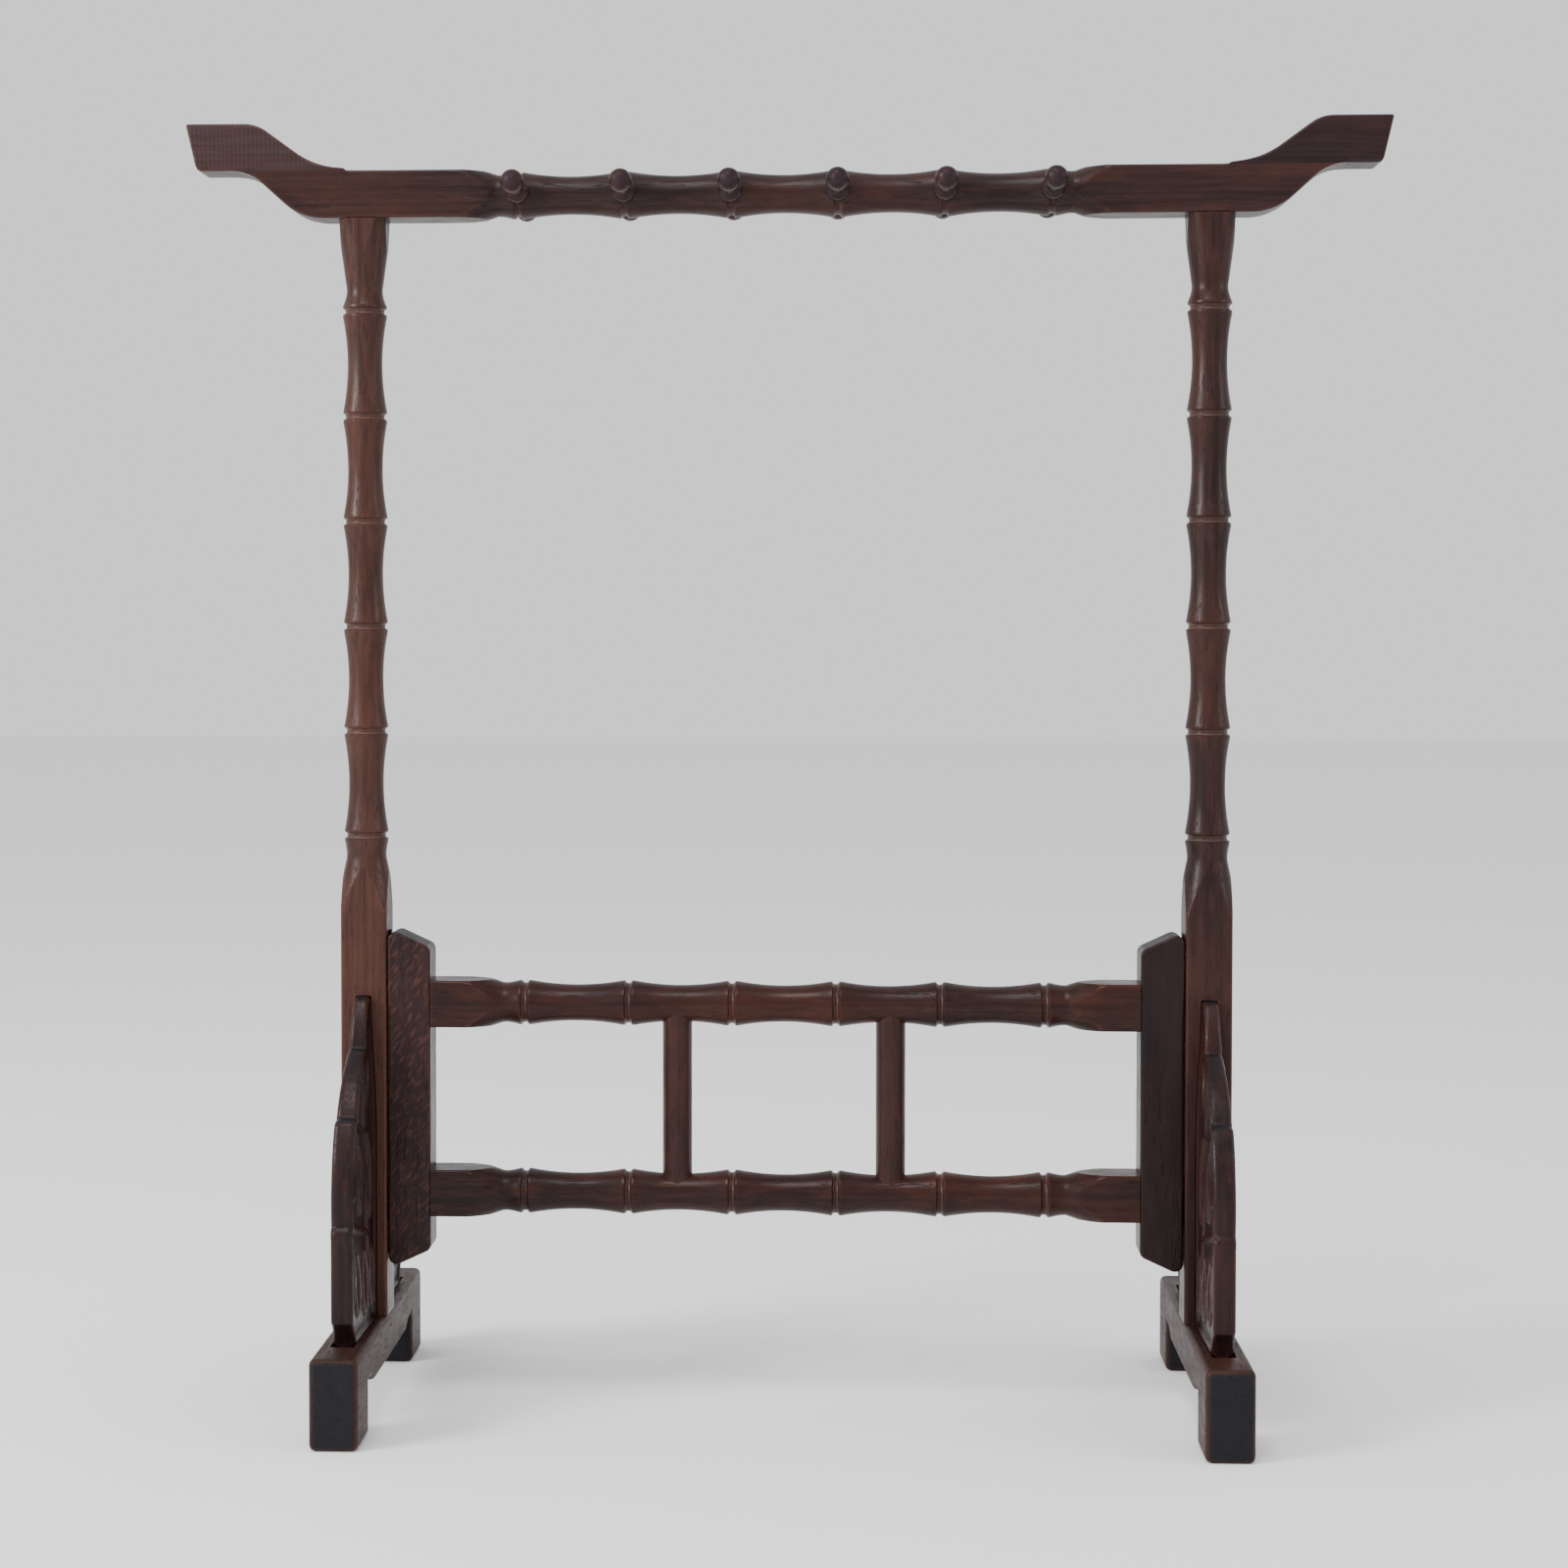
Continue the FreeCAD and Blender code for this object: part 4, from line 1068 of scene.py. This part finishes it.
@dataclass
class Spandrel:
    """A board pierced and carved as bamboo leaves, which braces a post on its foot.

    Across is the distance from the face of the post, up the height above the foot.
    """

    left: bool
    front: bool
    seat: float = 36.0             # length of its seat on the foot
    reach: float = 41.0
    clip: float = 6.5
    low_tier: float = 30.4
    knob: float = 4.5
    middle_tier: float = 63.9
    middle_reach: float = 34.0
    high_tier: float = 81.9
    high_reach: float = 14.5
    step: float = 3.5
    lip: float = 1.0
    height: float = 97.4
    top_reach: float = 6.0
    top_drop: float = 1.5
    sunk: float = 1.5
    taper: float = 0.88            # thickness at the front, as a share of that at the post
    thin_from: float = 58.0        # height from which the board thins towards its top
    thin_top: float = 0.62         # thickness at the top, as a share
    edge_round: float = 1.8
    grid: float = 0.5              # fineness of the carved skin
    rim: float = 1.3               # width of the raised border round every edge
    slope: float = 0.9             # run from the border down to the ground
    ground: float = 1.3            # depth of the ground below the border
    ground_start: float = 0.02     # depth from which a place counts as ground
    face_skin: float = 0.5         # depth from the face within which the carving is full
    rib: float = 0.7               # half width of a leaf's rib
    rib_height: float = 1.0
    rubbing: int = 4               # passes of fine abrasive over the carving
    rubbing_force: float = 0.5     # share of a bump that one pass takes off

    @classmethod
    def thinning(cls, up: float | np.ndarray) -> float | np.ndarray:
        """Thickness at a height above the foot, as a share of the full thickness."""
        return 1 - (1 - cls.thin_top) * smooth_step(np.asarray(up, float), cls.thin_from, cls.height)

    def _edge(self) -> list[Point]:
        """The outer edge of the board."""
        return outline([
            (-self.sunk, -self.sunk), (self.seat, -self.sunk), (self.seat, 0, 0.8),
            (self.reach, self.clip), (self.reach, self.low_tier, -1.0),
            (self.reach - self.lip, self.low_tier + self.knob, -2.4),
            (self.middle_reach, self.middle_tier, -0.6),
            (self.middle_reach - self.step, self.middle_tier + self.lip, -2.0),
            (self.high_reach, self.high_tier, -0.5),
            (self.high_reach - self.step, self.high_tier + self.lip, -1.0),
            (self.top_reach, self.height - self.top_drop, -1.0),
            (1.0, self.height), (-self.sunk, self.height)])

    @staticmethod
    def _openings() -> list[list[Point]]:
        """The leaf-shaped openings, each between a lower and an upper tip."""
        leaves = [((6, 6), (8, 22), 2.7), ((17, 6), (20, 23), 2.8), ((29, 8), (32, 24), 2.4),
                  ((9, 33), (13, 57), 3.0), ((24, 37), (27, 55), 2.5), ((15, 67), (9, 79), 1.8)]
        return [outline([(*low, -half), (*high, -half)], spans=10) for low, high, half in leaves]

    def _ribs(self) -> list[list[Point]]:
        """Stalks and leaf ribs that stand on the sunk ground."""
        return [
            [(2.5, 2), (13, 28), (19, 60), (13, 92)],
            [(13, 28), (25, 31), (37, 34)],
            [(19, 60), (25, 61), (29, 63)],
            [(35.5, 12), (36, 28)],
            [(33, 42), (29.5, 60)],
            [(3, 40), (4, 62), (3, 88)]]

    def build(self) -> None:
        """Make and dress the board."""
        side = "left" if self.left else "right"
        row = "front" if self.front else "back"
        node = f"{side}_{row}_spandrel"
        low, high = box_mm(node)
        holes = self._openings()
        mesh = self._blank([self._edge(), *holes], (high.x - low.x) / 2)
        board = new_piece(f"{side}_{row}_carved_spandrel", mesh)
        skin = board.modifiers.new("carving_grid", "REMESH")
        skin.mode = "VOXEL"
        skin.voxel_size = self.grid * MM
        settle(board)
        self._relief(board.data, [self._edge(), *holes], (high.x - low.x) / 2)
        rubbed = board.modifiers.new("rubbing", "SMOOTH")
        rubbed.factor = self.rubbing_force
        rubbed.iterations = self.rubbing
        settle(board)
        way = -1 if self.front else 1
        face = (high.y - self.sunk) if way < 0 else (low.y + self.sunk)
        self._place(board.data, way, (low.x + high.x) / 2, face, low.z + self.sunk)
        board.data.shade_smooth()
        lot = 20 + 2 * self.left + self.front
        dress(board, CARVED_WENGE, Axis.Z, lot, "end_frames", "wenge", node)

    def _blank(self, loops: list[list[Point]], half: float) -> bpy.types.Mesh:
        """The board with its openings and rounded edges, before it is carved.

        Args:
            loops: The outer edge, then each opening.
            half: Half the thickness.

        Returns:
            The new mesh, standing in the plane X = 0.
        """
        plan = bpy.data.curves.new("board_plan", "CURVE")
        plan.dimensions = "2D"
        plan.fill_mode = "BOTH"
        plan.extrude = (half - self.edge_round) * MM
        plan.bevel_depth = self.edge_round * MM
        plan.offset = -self.edge_round * MM
        plan.bevel_resolution = 3
        for loop in loops:
            spline = plan.splines.new("POLY")
            spline.points.add(len(loop) - 1)
            for target, (across, up) in zip(spline.points, loop):
                target.co = (across * MM, up * MM, 0, 1)
            spline.use_cyclic_u = True
        stand_in = bpy.data.objects.new("board_plan", plan)
        bpy.context.scene.collection.objects.link(stand_in)
        bpy.context.view_layer.update()
        mesh = bpy.data.meshes.new_from_object(
            stand_in.evaluated_get(bpy.context.evaluated_depsgraph_get()))
        bpy.data.objects.remove(stand_in)
        skin = bmesh.new()
        skin.from_mesh(mesh)
        bmesh.ops.remove_doubles(skin, verts=skin.verts, dist=MERGE)
        for point in skin.verts:
            point.co = (point.co.z, point.co.x, point.co.y)
        bmesh.ops.recalc_face_normals(skin, faces=skin.faces)
        skin.to_mesh(mesh)
        skin.free()
        return mesh

    def _relief(self, mesh: bpy.types.Mesh, loops: list[list[Point]], half: float) -> None:
        """Sink the ground between raised borders and ribs on both faces, then thin the board.

        Args:
            mesh: The board, which is changed.
            loops: The outer edge, then each opening.
            half: Half the thickness.
        """
        places = places_of(mesh) / MM
        flat = places[:, 1:]
        border = np.min([distance_to_line(flat, loop + loop[:1]) for loop in loops], axis=0)
        ribs = np.min([distance_to_line(flat, line) for line in self._ribs()], axis=0)
        sunk = self.ground * smooth_step(border, self.rim, self.rim + self.slope)
        raised = self.rib_height * (1 - smooth_step(ribs, 0, 2 * self.rib))
        depth = np.clip(sunk - raised * (sunk > self.ground_start), 0, self.ground)
        on_face = smooth_step(np.abs(places[:, 0]), half - self.edge_round, half - self.face_skin)
        places[:, 0] -= np.sign(places[:, 0]) * depth * on_face
        places[:, 0] *= 1 - (1 - self.taper) * np.clip(places[:, 1] / self.reach, 0, 1)
        places[:, 0] *= self.thinning(places[:, 2])
        mesh.vertices.foreach_set("co", (places * MM).ravel())

    @staticmethod
    def _place(mesh: bpy.types.Mesh, way: int, middle: float, face: float, foot: float) -> None:
        """Move the board to its post.

        Args:
            mesh: The board, standing at the origin.
            way: -1 for a board in front of the post, 1 for one behind it.
            middle: Middle of the board from left to right, in millimetres.
            face: Face of the post that it stands against.
            foot: Top of the foot.
        """
        places = places_of(mesh) * (way, way, 1) + np.array((middle, face, foot)) * MM
        mesh.vertices.foreach_set("co", places.ravel())
        mesh.update()


# ---- beam ----

def middle_x(node: str) -> float:
    """The middle of a CAD node from left to right, in millimetres."""
    low, high = box_mm(node)
    return (low.x + high.x) / 2


@dataclass
class Beam:
    """The bamboo-turned hanging bar with its glued, upturned tips and its row of pegs."""

    stock: float = 14.3
    arris: float = 0.9
    seam: float = 0.12             # rounding beside a glue line
    node: float = 7.0
    waist: float = 5.7
    neck: float = 6.2
    neck_reach: float = 6.5
    shoulder: float = 18.0
    under_start: float = 11.5      # post axis to the start of the ogee
    under_slope: float = 42.0
    under_inner_round: float = 17.9
    under_outer_round: float = 13.6
    tip_start: float = 4.8
    tip_step: float = 0.7
    tip_slope: float = 36.0
    tip_inner_round: float = 26.0
    tip_outer_round: float = 11.5
    tip_lean: float = 3.3
    left_ease: float = 1.5         # run over which the step at the start of a tip is rubbed down
    right_ease: float = 4.5
    tip_edge: float = 0.25         # share of the step that stands at once
    tip_corner: float = 1.8        # rounding of the lower outer corner
    tip_corner_share: float = 0.8  # how much of it the sander takes
    tip_lean_run: float = 9.0      # run over which the end face comes to lean
    thin_arris: float = 0.4        # widest rounding, as a share of the height of a thin tip
    feather: float = 0.1           # the bar stops short of its feather edge
    feather_arris: float = 0.9     # widest rounding there, as a share of half its height
    tenon: float = 8.0
    slip: float = 0.15
    mortise: float = 10.4
    peg_count: int = 6             # in one row
    turning: Bamboo = field(init=False)
    length: float = field(init=False)    # middle to one end of the bar
    bottom: float = field(init=False)
    axis: float = field(init=False)      # height of the bar's axis
    post: float = field(init=False)      # middle to the axis of a post

    def __post_init__(self) -> None:
        """Read the rings from the pegs, which stand one on each ring, and the bar's place from the CAD."""
        pegs = sorted(middle_x(f"peg_front_{k}") for k in range(1, self.peg_count + 1))
        end = to_square(self.stock, self.node, self.neck, self.neck_reach, self.shoulder)
        self.turning = Bamboo(tuple(pegs), self.node, self.waist, end, end)
        low, high = box_mm("beam")
        self.length, self.bottom = high.x, low.z
        self.axis = (low.z + high.z) / 2
        self.post = -middle_x("left_post")

    def build(self) -> None:
        """Make and dress the bar, its tips and its pegs."""
        self._bar()
        for left in (True, False):
            self._tip(left)
        for row in ("front", "back"):
            for index, place in enumerate(self.turning.rings, start=1):
                Peg().build(row, index, place, self.axis, self.turning)

    def _ogee(self, away: float, start: float, inner: float, outer: float, slope: float,
              rise: float) -> float:
        """Height of an S-shaped run that starts and ends level.

        Args:
            away: The place, as a distance from the middle of the hanger.
            start: Where the run starts.
            inner: Radius of its hollow bend.
            outer: Radius of its round bend.
            slope: Slope of the straight part between them, in degrees.
            rise: Height of the whole run.

        Returns:
            The height at the place.
        """
        turn = math.radians(slope)
        low_run, low_rise = inner * math.sin(turn), inner * (1 - math.cos(turn))
        high_run, high_rise = outer * math.sin(turn), outer * (1 - math.cos(turn))
        straight = (rise - low_rise - high_rise) / math.tan(turn)
        run = away - start
        if run <= 0:
            return 0.0
        if run <= low_run:
            return inner - math.sqrt(inner ** 2 - run ** 2)
        if run <= low_run + straight:
            return low_rise + (run - low_run) * math.tan(turn)
        left = low_run + straight + high_run - run
        return rise if left <= 0 else rise - (outer - math.sqrt(outer ** 2 - left ** 2))

    def _bar(self) -> None:
        """The bar, from the feather edge under one tip to the other."""
        rings = self.turning.rings
        under = self.post + self.under_start
        ends = (-self.length + self.feather, self.length - self.feather)
        busy = [*rings, *(sign * (under + 4 * k) for sign in (-1, 1) for k in range(1, 8))]
        exact = [sign * (rings[-1] + self.shoulder) for sign in (-1, 1)]
        sections = []
        for along in stations(*ends, busy, exact, fine=0.35, coarse=1.3):
            lift = self._ogee(abs(along), under, self.under_inner_round, self.under_outer_round,
                              self.under_slope, self.stock)
            half_height = max((self.stock - lift) / 2, self.feather / 4)
            tip_near = smooth_step(np.array(abs(along)), self.post + self.tip_start - 1.5,
                                   self.post + self.tip_start)
            widest = half_height * self.feather_arris
            top_arris = min(self.arris + (self.seam - self.arris) * float(tip_near), widest)
            low_arris = min(self.arris, widest)
            shape = section(self.stock / 2, half_height, top_arris, low_arris, self.turning.radius(along))
            sections.append(lay(shape, along, Axis.X) + (0, 0, self.axis + lift / 2))
        bar = new_piece("bamboo_beam", loft("beam", sections))
        half = self.tenon / 2 + self.slip
        cutters = [prism("mortise", rectangle(way * self.post - half, way * self.post + half, -half, half),
                         self.bottom - 1, self.bottom + self.mortise, Axis.Z) for way in (-1, 1)]
        carve(bar, cutters)
        dress(bar, BAR_WENGE, Axis.X, 30, "beam", "wenge", "beam")

    def _tip(self, left: bool) -> None:
        """An upturned end block with a leaning end face.

        Args:
            left: Whether it is the left one.
        """
        way = -1 if left else 1
        low, high = box_mm("left_tip" if left else "right_tip")
        outer, height = max(abs(low.x), abs(high.x)), high.z - low.z
        inner = self.post + self.tip_start
        sections = []
        last = outer - self.tip_lean
        for along in stations(inner, last, (inner, last), fine=0.2, coarse=0.7, near=1.5):
            eased = min(1.0, (along - inner) / (self.left_ease if left else self.right_ease))
            stepped = self.tip_edge + (1 - self.tip_edge) * math.sqrt(1 - (1 - eased) ** 2)
            lift = self.tip_step * stepped + self._ogee(
                along, inner, self.tip_inner_round, self.tip_outer_round, self.tip_slope,
                height - self.tip_step)
            clear = float(smooth_step(np.array(along), self.length - 0.5, self.length + 1.5))
            near_end = max(0, 1 - (last - along) / self.arris)
            end_round = self.arris * (1 - math.sqrt(max(0, 1 - near_end ** 2)))
            widest = lift * self.thin_arris
            low_arris = min(self.seam + (self.arris - self.seam) * clear, widest)
            turn = max(0.0, 1 - (last - along) / self.tip_corner)
            rounded = self.tip_corner * (1 - math.sqrt(1 - min(1.0, turn) ** 2))
            corner = rounded * self.tip_corner_share
            shape = section(self.stock / 2 - end_round, (lift - corner) / 2 - end_round * 0.5,
                            min(self.arris, widest), low_arris)
            lean = float(smooth_step(np.array(along), last - self.tip_lean_run, last)) * self.tip_lean
            run = along + lean * (shape[:, 1] + lift / 2) / height
            sections.append(lay(shape, run * way, Axis.X) + (0, 0, low.z + (lift + corner) / 2))
        name = "left" if left else "right"
        tip = new_piece(f"{name}_upturned_tip", loft("tip", sections))
        dress(tip, RIPPLE_WENGE if left else TIP_WENGE, Axis.X, 34 if left else 37, "beam", "wenge",
              f"{name}_tip")


@dataclass
class Peg:
    """A turned peg: tenon, base scribed to the bar, stem and ball head.

    Distances run along the peg, from the axis of the bar.
    """

    head: float = 3.45             # radii
    stem: float = 2.2
    base: float = 3.7
    tenon: float = 2.0
    root: float = 0.2              # end of the tenon, which meets the opposite peg's
    inside: float = 6.0            # where the base begins, under the surface of the bar
    base_reach: float = 10.5
    flare: float = 2.0             # run over which the base thins to the stem
    reach: float = 20.5
    rise: float = 4.0              # degrees; front pegs droop and back pegs rise
    spans: int = 40                # points round the peg
    flare_spans: int = 6
    flare_curve: float = 1.6       # 1 would be a plain cone
    head_spans: int = 14
    point: float = 0.01            # radius that closes an end
    sunk: float = 0.02             # how far the base is let into the bar

    def _profile(self) -> list[Point]:
        """Outline of the turning as (distance, radius); its second and third points lie under the bar."""
        seat = math.sqrt(self.head ** 2 - self.stem ** 2)
        flare_at, edge = self.base_reach - self.flare, 0.3
        points = [(self.root, self.point), (self.inside, self.tenon), (self.inside, self.base - 0.05),
                  (flare_at - edge, self.base), (flare_at, self.base)]
        for k in range(1, self.flare_spans + 1):
            thinned = (k / self.flare_spans) ** self.flare_curve
            points.append((flare_at + self.flare * k / self.flare_spans,
                           self.base - (self.base - self.stem) * thinned))
        points += [(self.base_reach + 1.5, self.stem), (self.reach - seat - 1.0, self.stem),
                   (self.reach - seat, self.stem)]
        start = math.asin(self.stem / self.head)
        for k in range(1, self.head_spans + 1):
            turn = start + (math.pi - start) * k / self.head_spans
            points.append((self.reach - self.head * math.cos(turn),
                           max(self.head * math.sin(turn), self.point)))
        return points

    def build(self, row: str, index: int, place: float, axis: float, turning: Bamboo) -> None:
        """Make and dress the peg at a ring of the beam.

        Args:
            row: "front" or "back".
            index: Its number in the row, from the left.
            place: The ring's place along the beam.
            axis: Height of the beam's axis.
            turning: The turning of the beam, to which the base is scribed.
        """
        way = -1 if row == "front" else 1
        tilt = math.radians(self.rise) * -way
        turns = np.linspace(0, math.tau, self.spans + 1)[:-1]
        rings = []
        for out, radius in self._profile():
            across, up = radius * np.cos(turns), radius * np.sin(turns)
            outs = np.full(self.spans, out)
            if out == self.inside:
                surface = np.array([turning.radius(place + x) for x in across])
                outs = np.sqrt(np.maximum(surface ** 2 - up ** 2, 1)) - self.sunk
            rings.append(np.column_stack([place + across, way * outs * math.cos(tilt),
                                          axis + outs * math.sin(tilt) + up]))
        peg = new_piece(f"{row}_peg_{index}", loft("peg", rings), crease=40)
        dress(peg, PEG_WENGE, Axis.Y, 40 + index + (6 if row == "back" else 0), "beam", "dark_wenge",
              f"peg_{row}_{index}")


# ---- railing ----

@dataclass
class Railing:
    """The low railing: two bamboo-turned rails, two spindles, and the plates that hook it on the posts."""

    stock: float = 14.2
    arris: float = 0.8
    pitch: float = 31.5
    ring_count: int = 6
    node: float = 6.8
    waist: float = 5.5
    neck: float = 6.0
    neck_reach: float = 6.5
    shoulder: float = 19.0
    tenon: float = 7.0
    tenon_length: float = 8.0
    tenon_round: float = 0.4
    spindle: float = 4.45          # radius
    spindle_flats: int = 8         # flats that the plane left round it
    flat_depth: float = 0.07
    bite: float = 0.1              # how far a spindle goes into a rail
    plate_slope: float = 6.0
    plate_round: float = 2.5
    plate_sanding: float = 0.8
    key_arris: float = 0.25
    turning: Bamboo = field(init=False)

    def __post_init__(self) -> None:
        """Set out the rings about the middle of a rail."""
        rings = tuple((k - (self.ring_count - 1) / 2) * self.pitch for k in range(self.ring_count))
        end = to_square(self.stock, self.node, self.neck, self.neck_reach, self.shoulder)
        self.turning = Bamboo(rings, self.node, self.waist, end, end)

    def build(self) -> None:
        """Make and dress the rails, spindles, plates and keys."""
        heights = [self._rail(name, lot) for name, lot in (("upper_rail", 50), ("lower_rail", 53))]
        for left in (True, False):
            self._spindle(left, max(heights), min(heights))
            self._plate(left)
            for level in ("upper", "lower"):
                self._key(left, level)

    def _rail(self, name: str, lot: int) -> float:
        """Make and dress one rail with its tenons.

        Args:
            name: Its CAD node.
            lot: The part of the plank that it was cut from.

        Returns:
            The height of its axis.
        """
        low, high = box_mm(name)
        axis, end = (low.z + high.z) / 2, high.x - self.tenon_length
        tenon = (self.tenon / 2, self.tenon_round, math.inf)
        rows = [(-high.x, *tenon), (-end, *tenon)]
        exact = [sign * (self.turning.rings[-1] + self.shoulder) for sign in (-1, 1)]
        for along in stations(-end, end, self.turning.rings, exact, coarse=1.2):
            rows.append((along, self.stock / 2, self.arris, self.turning.radius(along)))
        rows += [(end, *tenon), (high.x, *tenon)]
        sections = [lay(section(half, half, arris, arris, turned), along, Axis.X) + (0, 0, axis)
                    for along, half, arris, turned in rows]
        rail = new_piece(f"bamboo_{name}", loft("rail", sections))
        dress(rail, RAIL_WENGE, Axis.X, lot, "railing", "wenge", name)
        return axis

    def _spindle(self, left: bool, upper: float, lower: float) -> None:
        """Make and dress a round bar scribed to both rails.

        Args:
            left: Whether it is the left one.
            upper: Height of the upper rail's axis.
            lower: Height of the lower rail's axis.
        """
        name = "left_spindle" if left else "right_spindle"
        middle = middle_x(name)
        turns = np.linspace(0, math.tau, 49)[:-1]
        planed = self.spindle - self.flat_depth * (1 - np.cos(self.spindle_flats * turns)) / 2
        across, depth = planed * np.cos(turns), planed * np.sin(turns)
        surface = np.array([self.turning.radius(middle + x) for x in across])
        bite = np.sqrt(np.maximum(surface ** 2 - depth ** 2, 1)) - self.bite
        sections = []
        for share in np.linspace(0, 1, 34):
            up = (lower + bite) * (1 - share) + (upper - bite) * share
            sections.append(np.column_stack([middle + across, depth, up]))
        spindle = new_piece(f"{name[:-8]}_round_spindle", loft("spindle", sections), crease=50)
        dress(spindle, BAR_WENGE, Axis.Z, 56 if left else 58, "railing", "wenge", name)

    def _plate(self, left: bool) -> None:
        """Make and dress the slab that lies against a post, with sloping, rounded ends.

        Args:
            left: Whether it is the left one.
        """
        name = "left_hook_plate" if left else "right_hook_plate"
        low, high = box_mm(name)
        near, far = (low.x, high.x) if left else (high.x, low.x)
        sloped = [(near, low.z), (far, low.z + self.plate_slope), (far, high.z - self.plate_slope),
                  (near, high.z)]
        plate = new_piece(f"{name[:-11]}_hook_plate_slab", self._slab(sloped, low.y, high.y))
        soften(plate, self.plate_sanding)
        dress(plate, FEATHER_WENGE if left else DARK_WENGE, Axis.Z, 60 if left else 62, "railing",
              "dark_wenge", name)

    def _slab(self, corners: list[Point], front: float, back: float) -> bpy.types.Mesh:
        """A block with rounded corners.

        Args:
            corners: Its corners in the plane of the hanger, as (across, up).
            front: Where it starts in depth.
            back: Where it ends.

        Returns:
            The new mesh.
        """
        points: list[Point] = []
        for index, corner in enumerate(corners):
            here = Vector(corner)
            before, after = Vector(corners[index - 1]) - here, Vector(corners[(index + 1) % 4]) - here
            opening = before.angle(after)
            cut = self.plate_round / math.tan(opening / 2)
            bisector = (before.normalized() + after.normalized()).normalized()
            centre = here + bisector * (self.plate_round / math.sin(opening / 2))
            start, end = here + before.normalized() * cut - centre, here + after.normalized() * cut - centre
            sweep = start.angle_signed(end)
            first = math.atan2(start.y, start.x)
            points += [(centre.x + self.plate_round * math.cos(first - sweep * k / 6),
                        centre.y + self.plate_round * math.sin(first - sweep * k / 6)) for k in range(7)]
        return prism("slab", points, front, back, Axis.Y)

    def _key(self, left: bool, level: str) -> None:
        """Finish a planed dovetail key, which stays the CAD solid.

        Args:
            left: Whether it is on the left.
            level: "upper" or "lower".
        """
        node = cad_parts[f"{'left' if left else 'right'}_{level}_key"]
        bevel = node.modifiers.new("arris", "BEVEL")
        bevel.width = self.key_arris * MM
        bevel.segments = 2
        node.data.materials.clear()
        node.data.materials.append(PLANED_KEY.material(Axis.Z, 70 + 2 * left + (level == "upper")))
        LOG.info("%s: CAD solid, %s", node.name, PLANED_KEY.name)


# ---- studio ----

@dataclass(frozen=True)
class Softbox:
    """A square softbox that points at the middle of the hanger. Its place and size are in metres."""

    name: str
    place: tuple[float, float, float]
    size: float
    power: float                   # watts

    def hang(self) -> None:
        """Put the softbox in the scene."""
        lamp = bpy.data.lights.new(self.name, "AREA")
        lamp.size = self.size
        lamp.energy = self.power
        box = bpy.data.objects.new(self.name, lamp)
        box.location = self.place
        middle = (cad_low + cad_high) / 2
        box.rotation_mode = "QUATERNION"
        box.rotation_quaternion = (middle - Vector(self.place)).to_track_quat("-Z", "Y")
        bpy.context.scene.collection.objects.link(box)


SOFTBOXES = (
    Softbox("key", (-1.25, -0.8, 0.75), 0.5, 23),
    Softbox("fill", (1.45, -0.42, 0.65), 0.4, 4),
    Softbox("top", (-0.2, -0.75, 1.5), 0.5, 10))


@dataclass
class Studio:
    """A pale floor, soft light from above and in front, and a camera almost square to the front."""

    distance: float = 900.0        # camera to the plane of the hanger
    offset: float = -23.8          # camera to the right of the middle
    height: float = 233.1
    yaw: float = math.degrees(-0.0489)
    pitch: float = math.degrees(0.0296)
    lens: float = 68.2
    shift: Point = (0.05, -0.0375)
    floor_half: float = 6000.0
    tent: str = "#f1f2f4"          # light tent of white cloth
    tent_strength: float = 1.2

    def build(self) -> None:
        """Make the floor, lights, world and camera."""
        self._floor()
        for softbox in SOFTBOXES:
            softbox.hang()
        self._world()
        self._camera()

    def _floor(self) -> None:
        """A wide sheet of paper."""
        half = self.floor_half * MM
        mesh = bpy.data.meshes.new("floor")
        mesh.from_pydata([(x, y, 0) for x, y in rectangle(-half, half, -half, half)], [], [(0, 1, 2, 3)])
        floor = bpy.data.objects.new("floor", mesh)
        bpy.context.scene.collection.objects.link(floor)
        mesh.materials.append(StudioPaper().material())

    def _world(self) -> None:
        """White surroundings, as in a light tent."""
        world = bpy.data.worlds.new("light_tent")
        bpy.context.scene.world = world
        world.use_nodes = True
        sky = world.node_tree.nodes["Background"]
        sky.inputs["Color"].default_value = linear(self.tent)
        sky.inputs["Strength"].default_value = self.tent_strength

    def _camera(self) -> None:
        """The camera at the picture's viewing angle."""
        turn, tilt = math.radians(self.yaw), math.radians(self.pitch)
        ahead = Vector((math.sin(turn), math.cos(turn), 0))
        right = Vector((math.cos(turn), -math.sin(turn), 0))
        lens = bpy.data.cameras.new("camera")
        lens.lens = self.lens
        lens.shift_x, lens.shift_y = self.shift
        camera = bpy.data.objects.new("camera", lens)
        camera.location = (right * self.offset - ahead * self.distance + Vector((0, 0, self.height))) * MM
        look = ahead * math.cos(tilt) - Vector((0, 0, math.sin(tilt)))
        camera.rotation_mode = "QUATERNION"
        camera.rotation_quaternion = look.to_track_quat("-Z", "Y")
        bpy.context.scene.collection.objects.link(camera)
        bpy.context.scene.camera = camera


def main() -> None:
    """Build the hanger from its ends inwards, then the studio."""
    logging.basicConfig(level=logging.INFO, format="%(message)s")
    for left in (True, False):
        EndFrame(left).build()
    Beam().build()
    Railing().build()
    Studio().build()


if __name__ == "__main__":
    main()
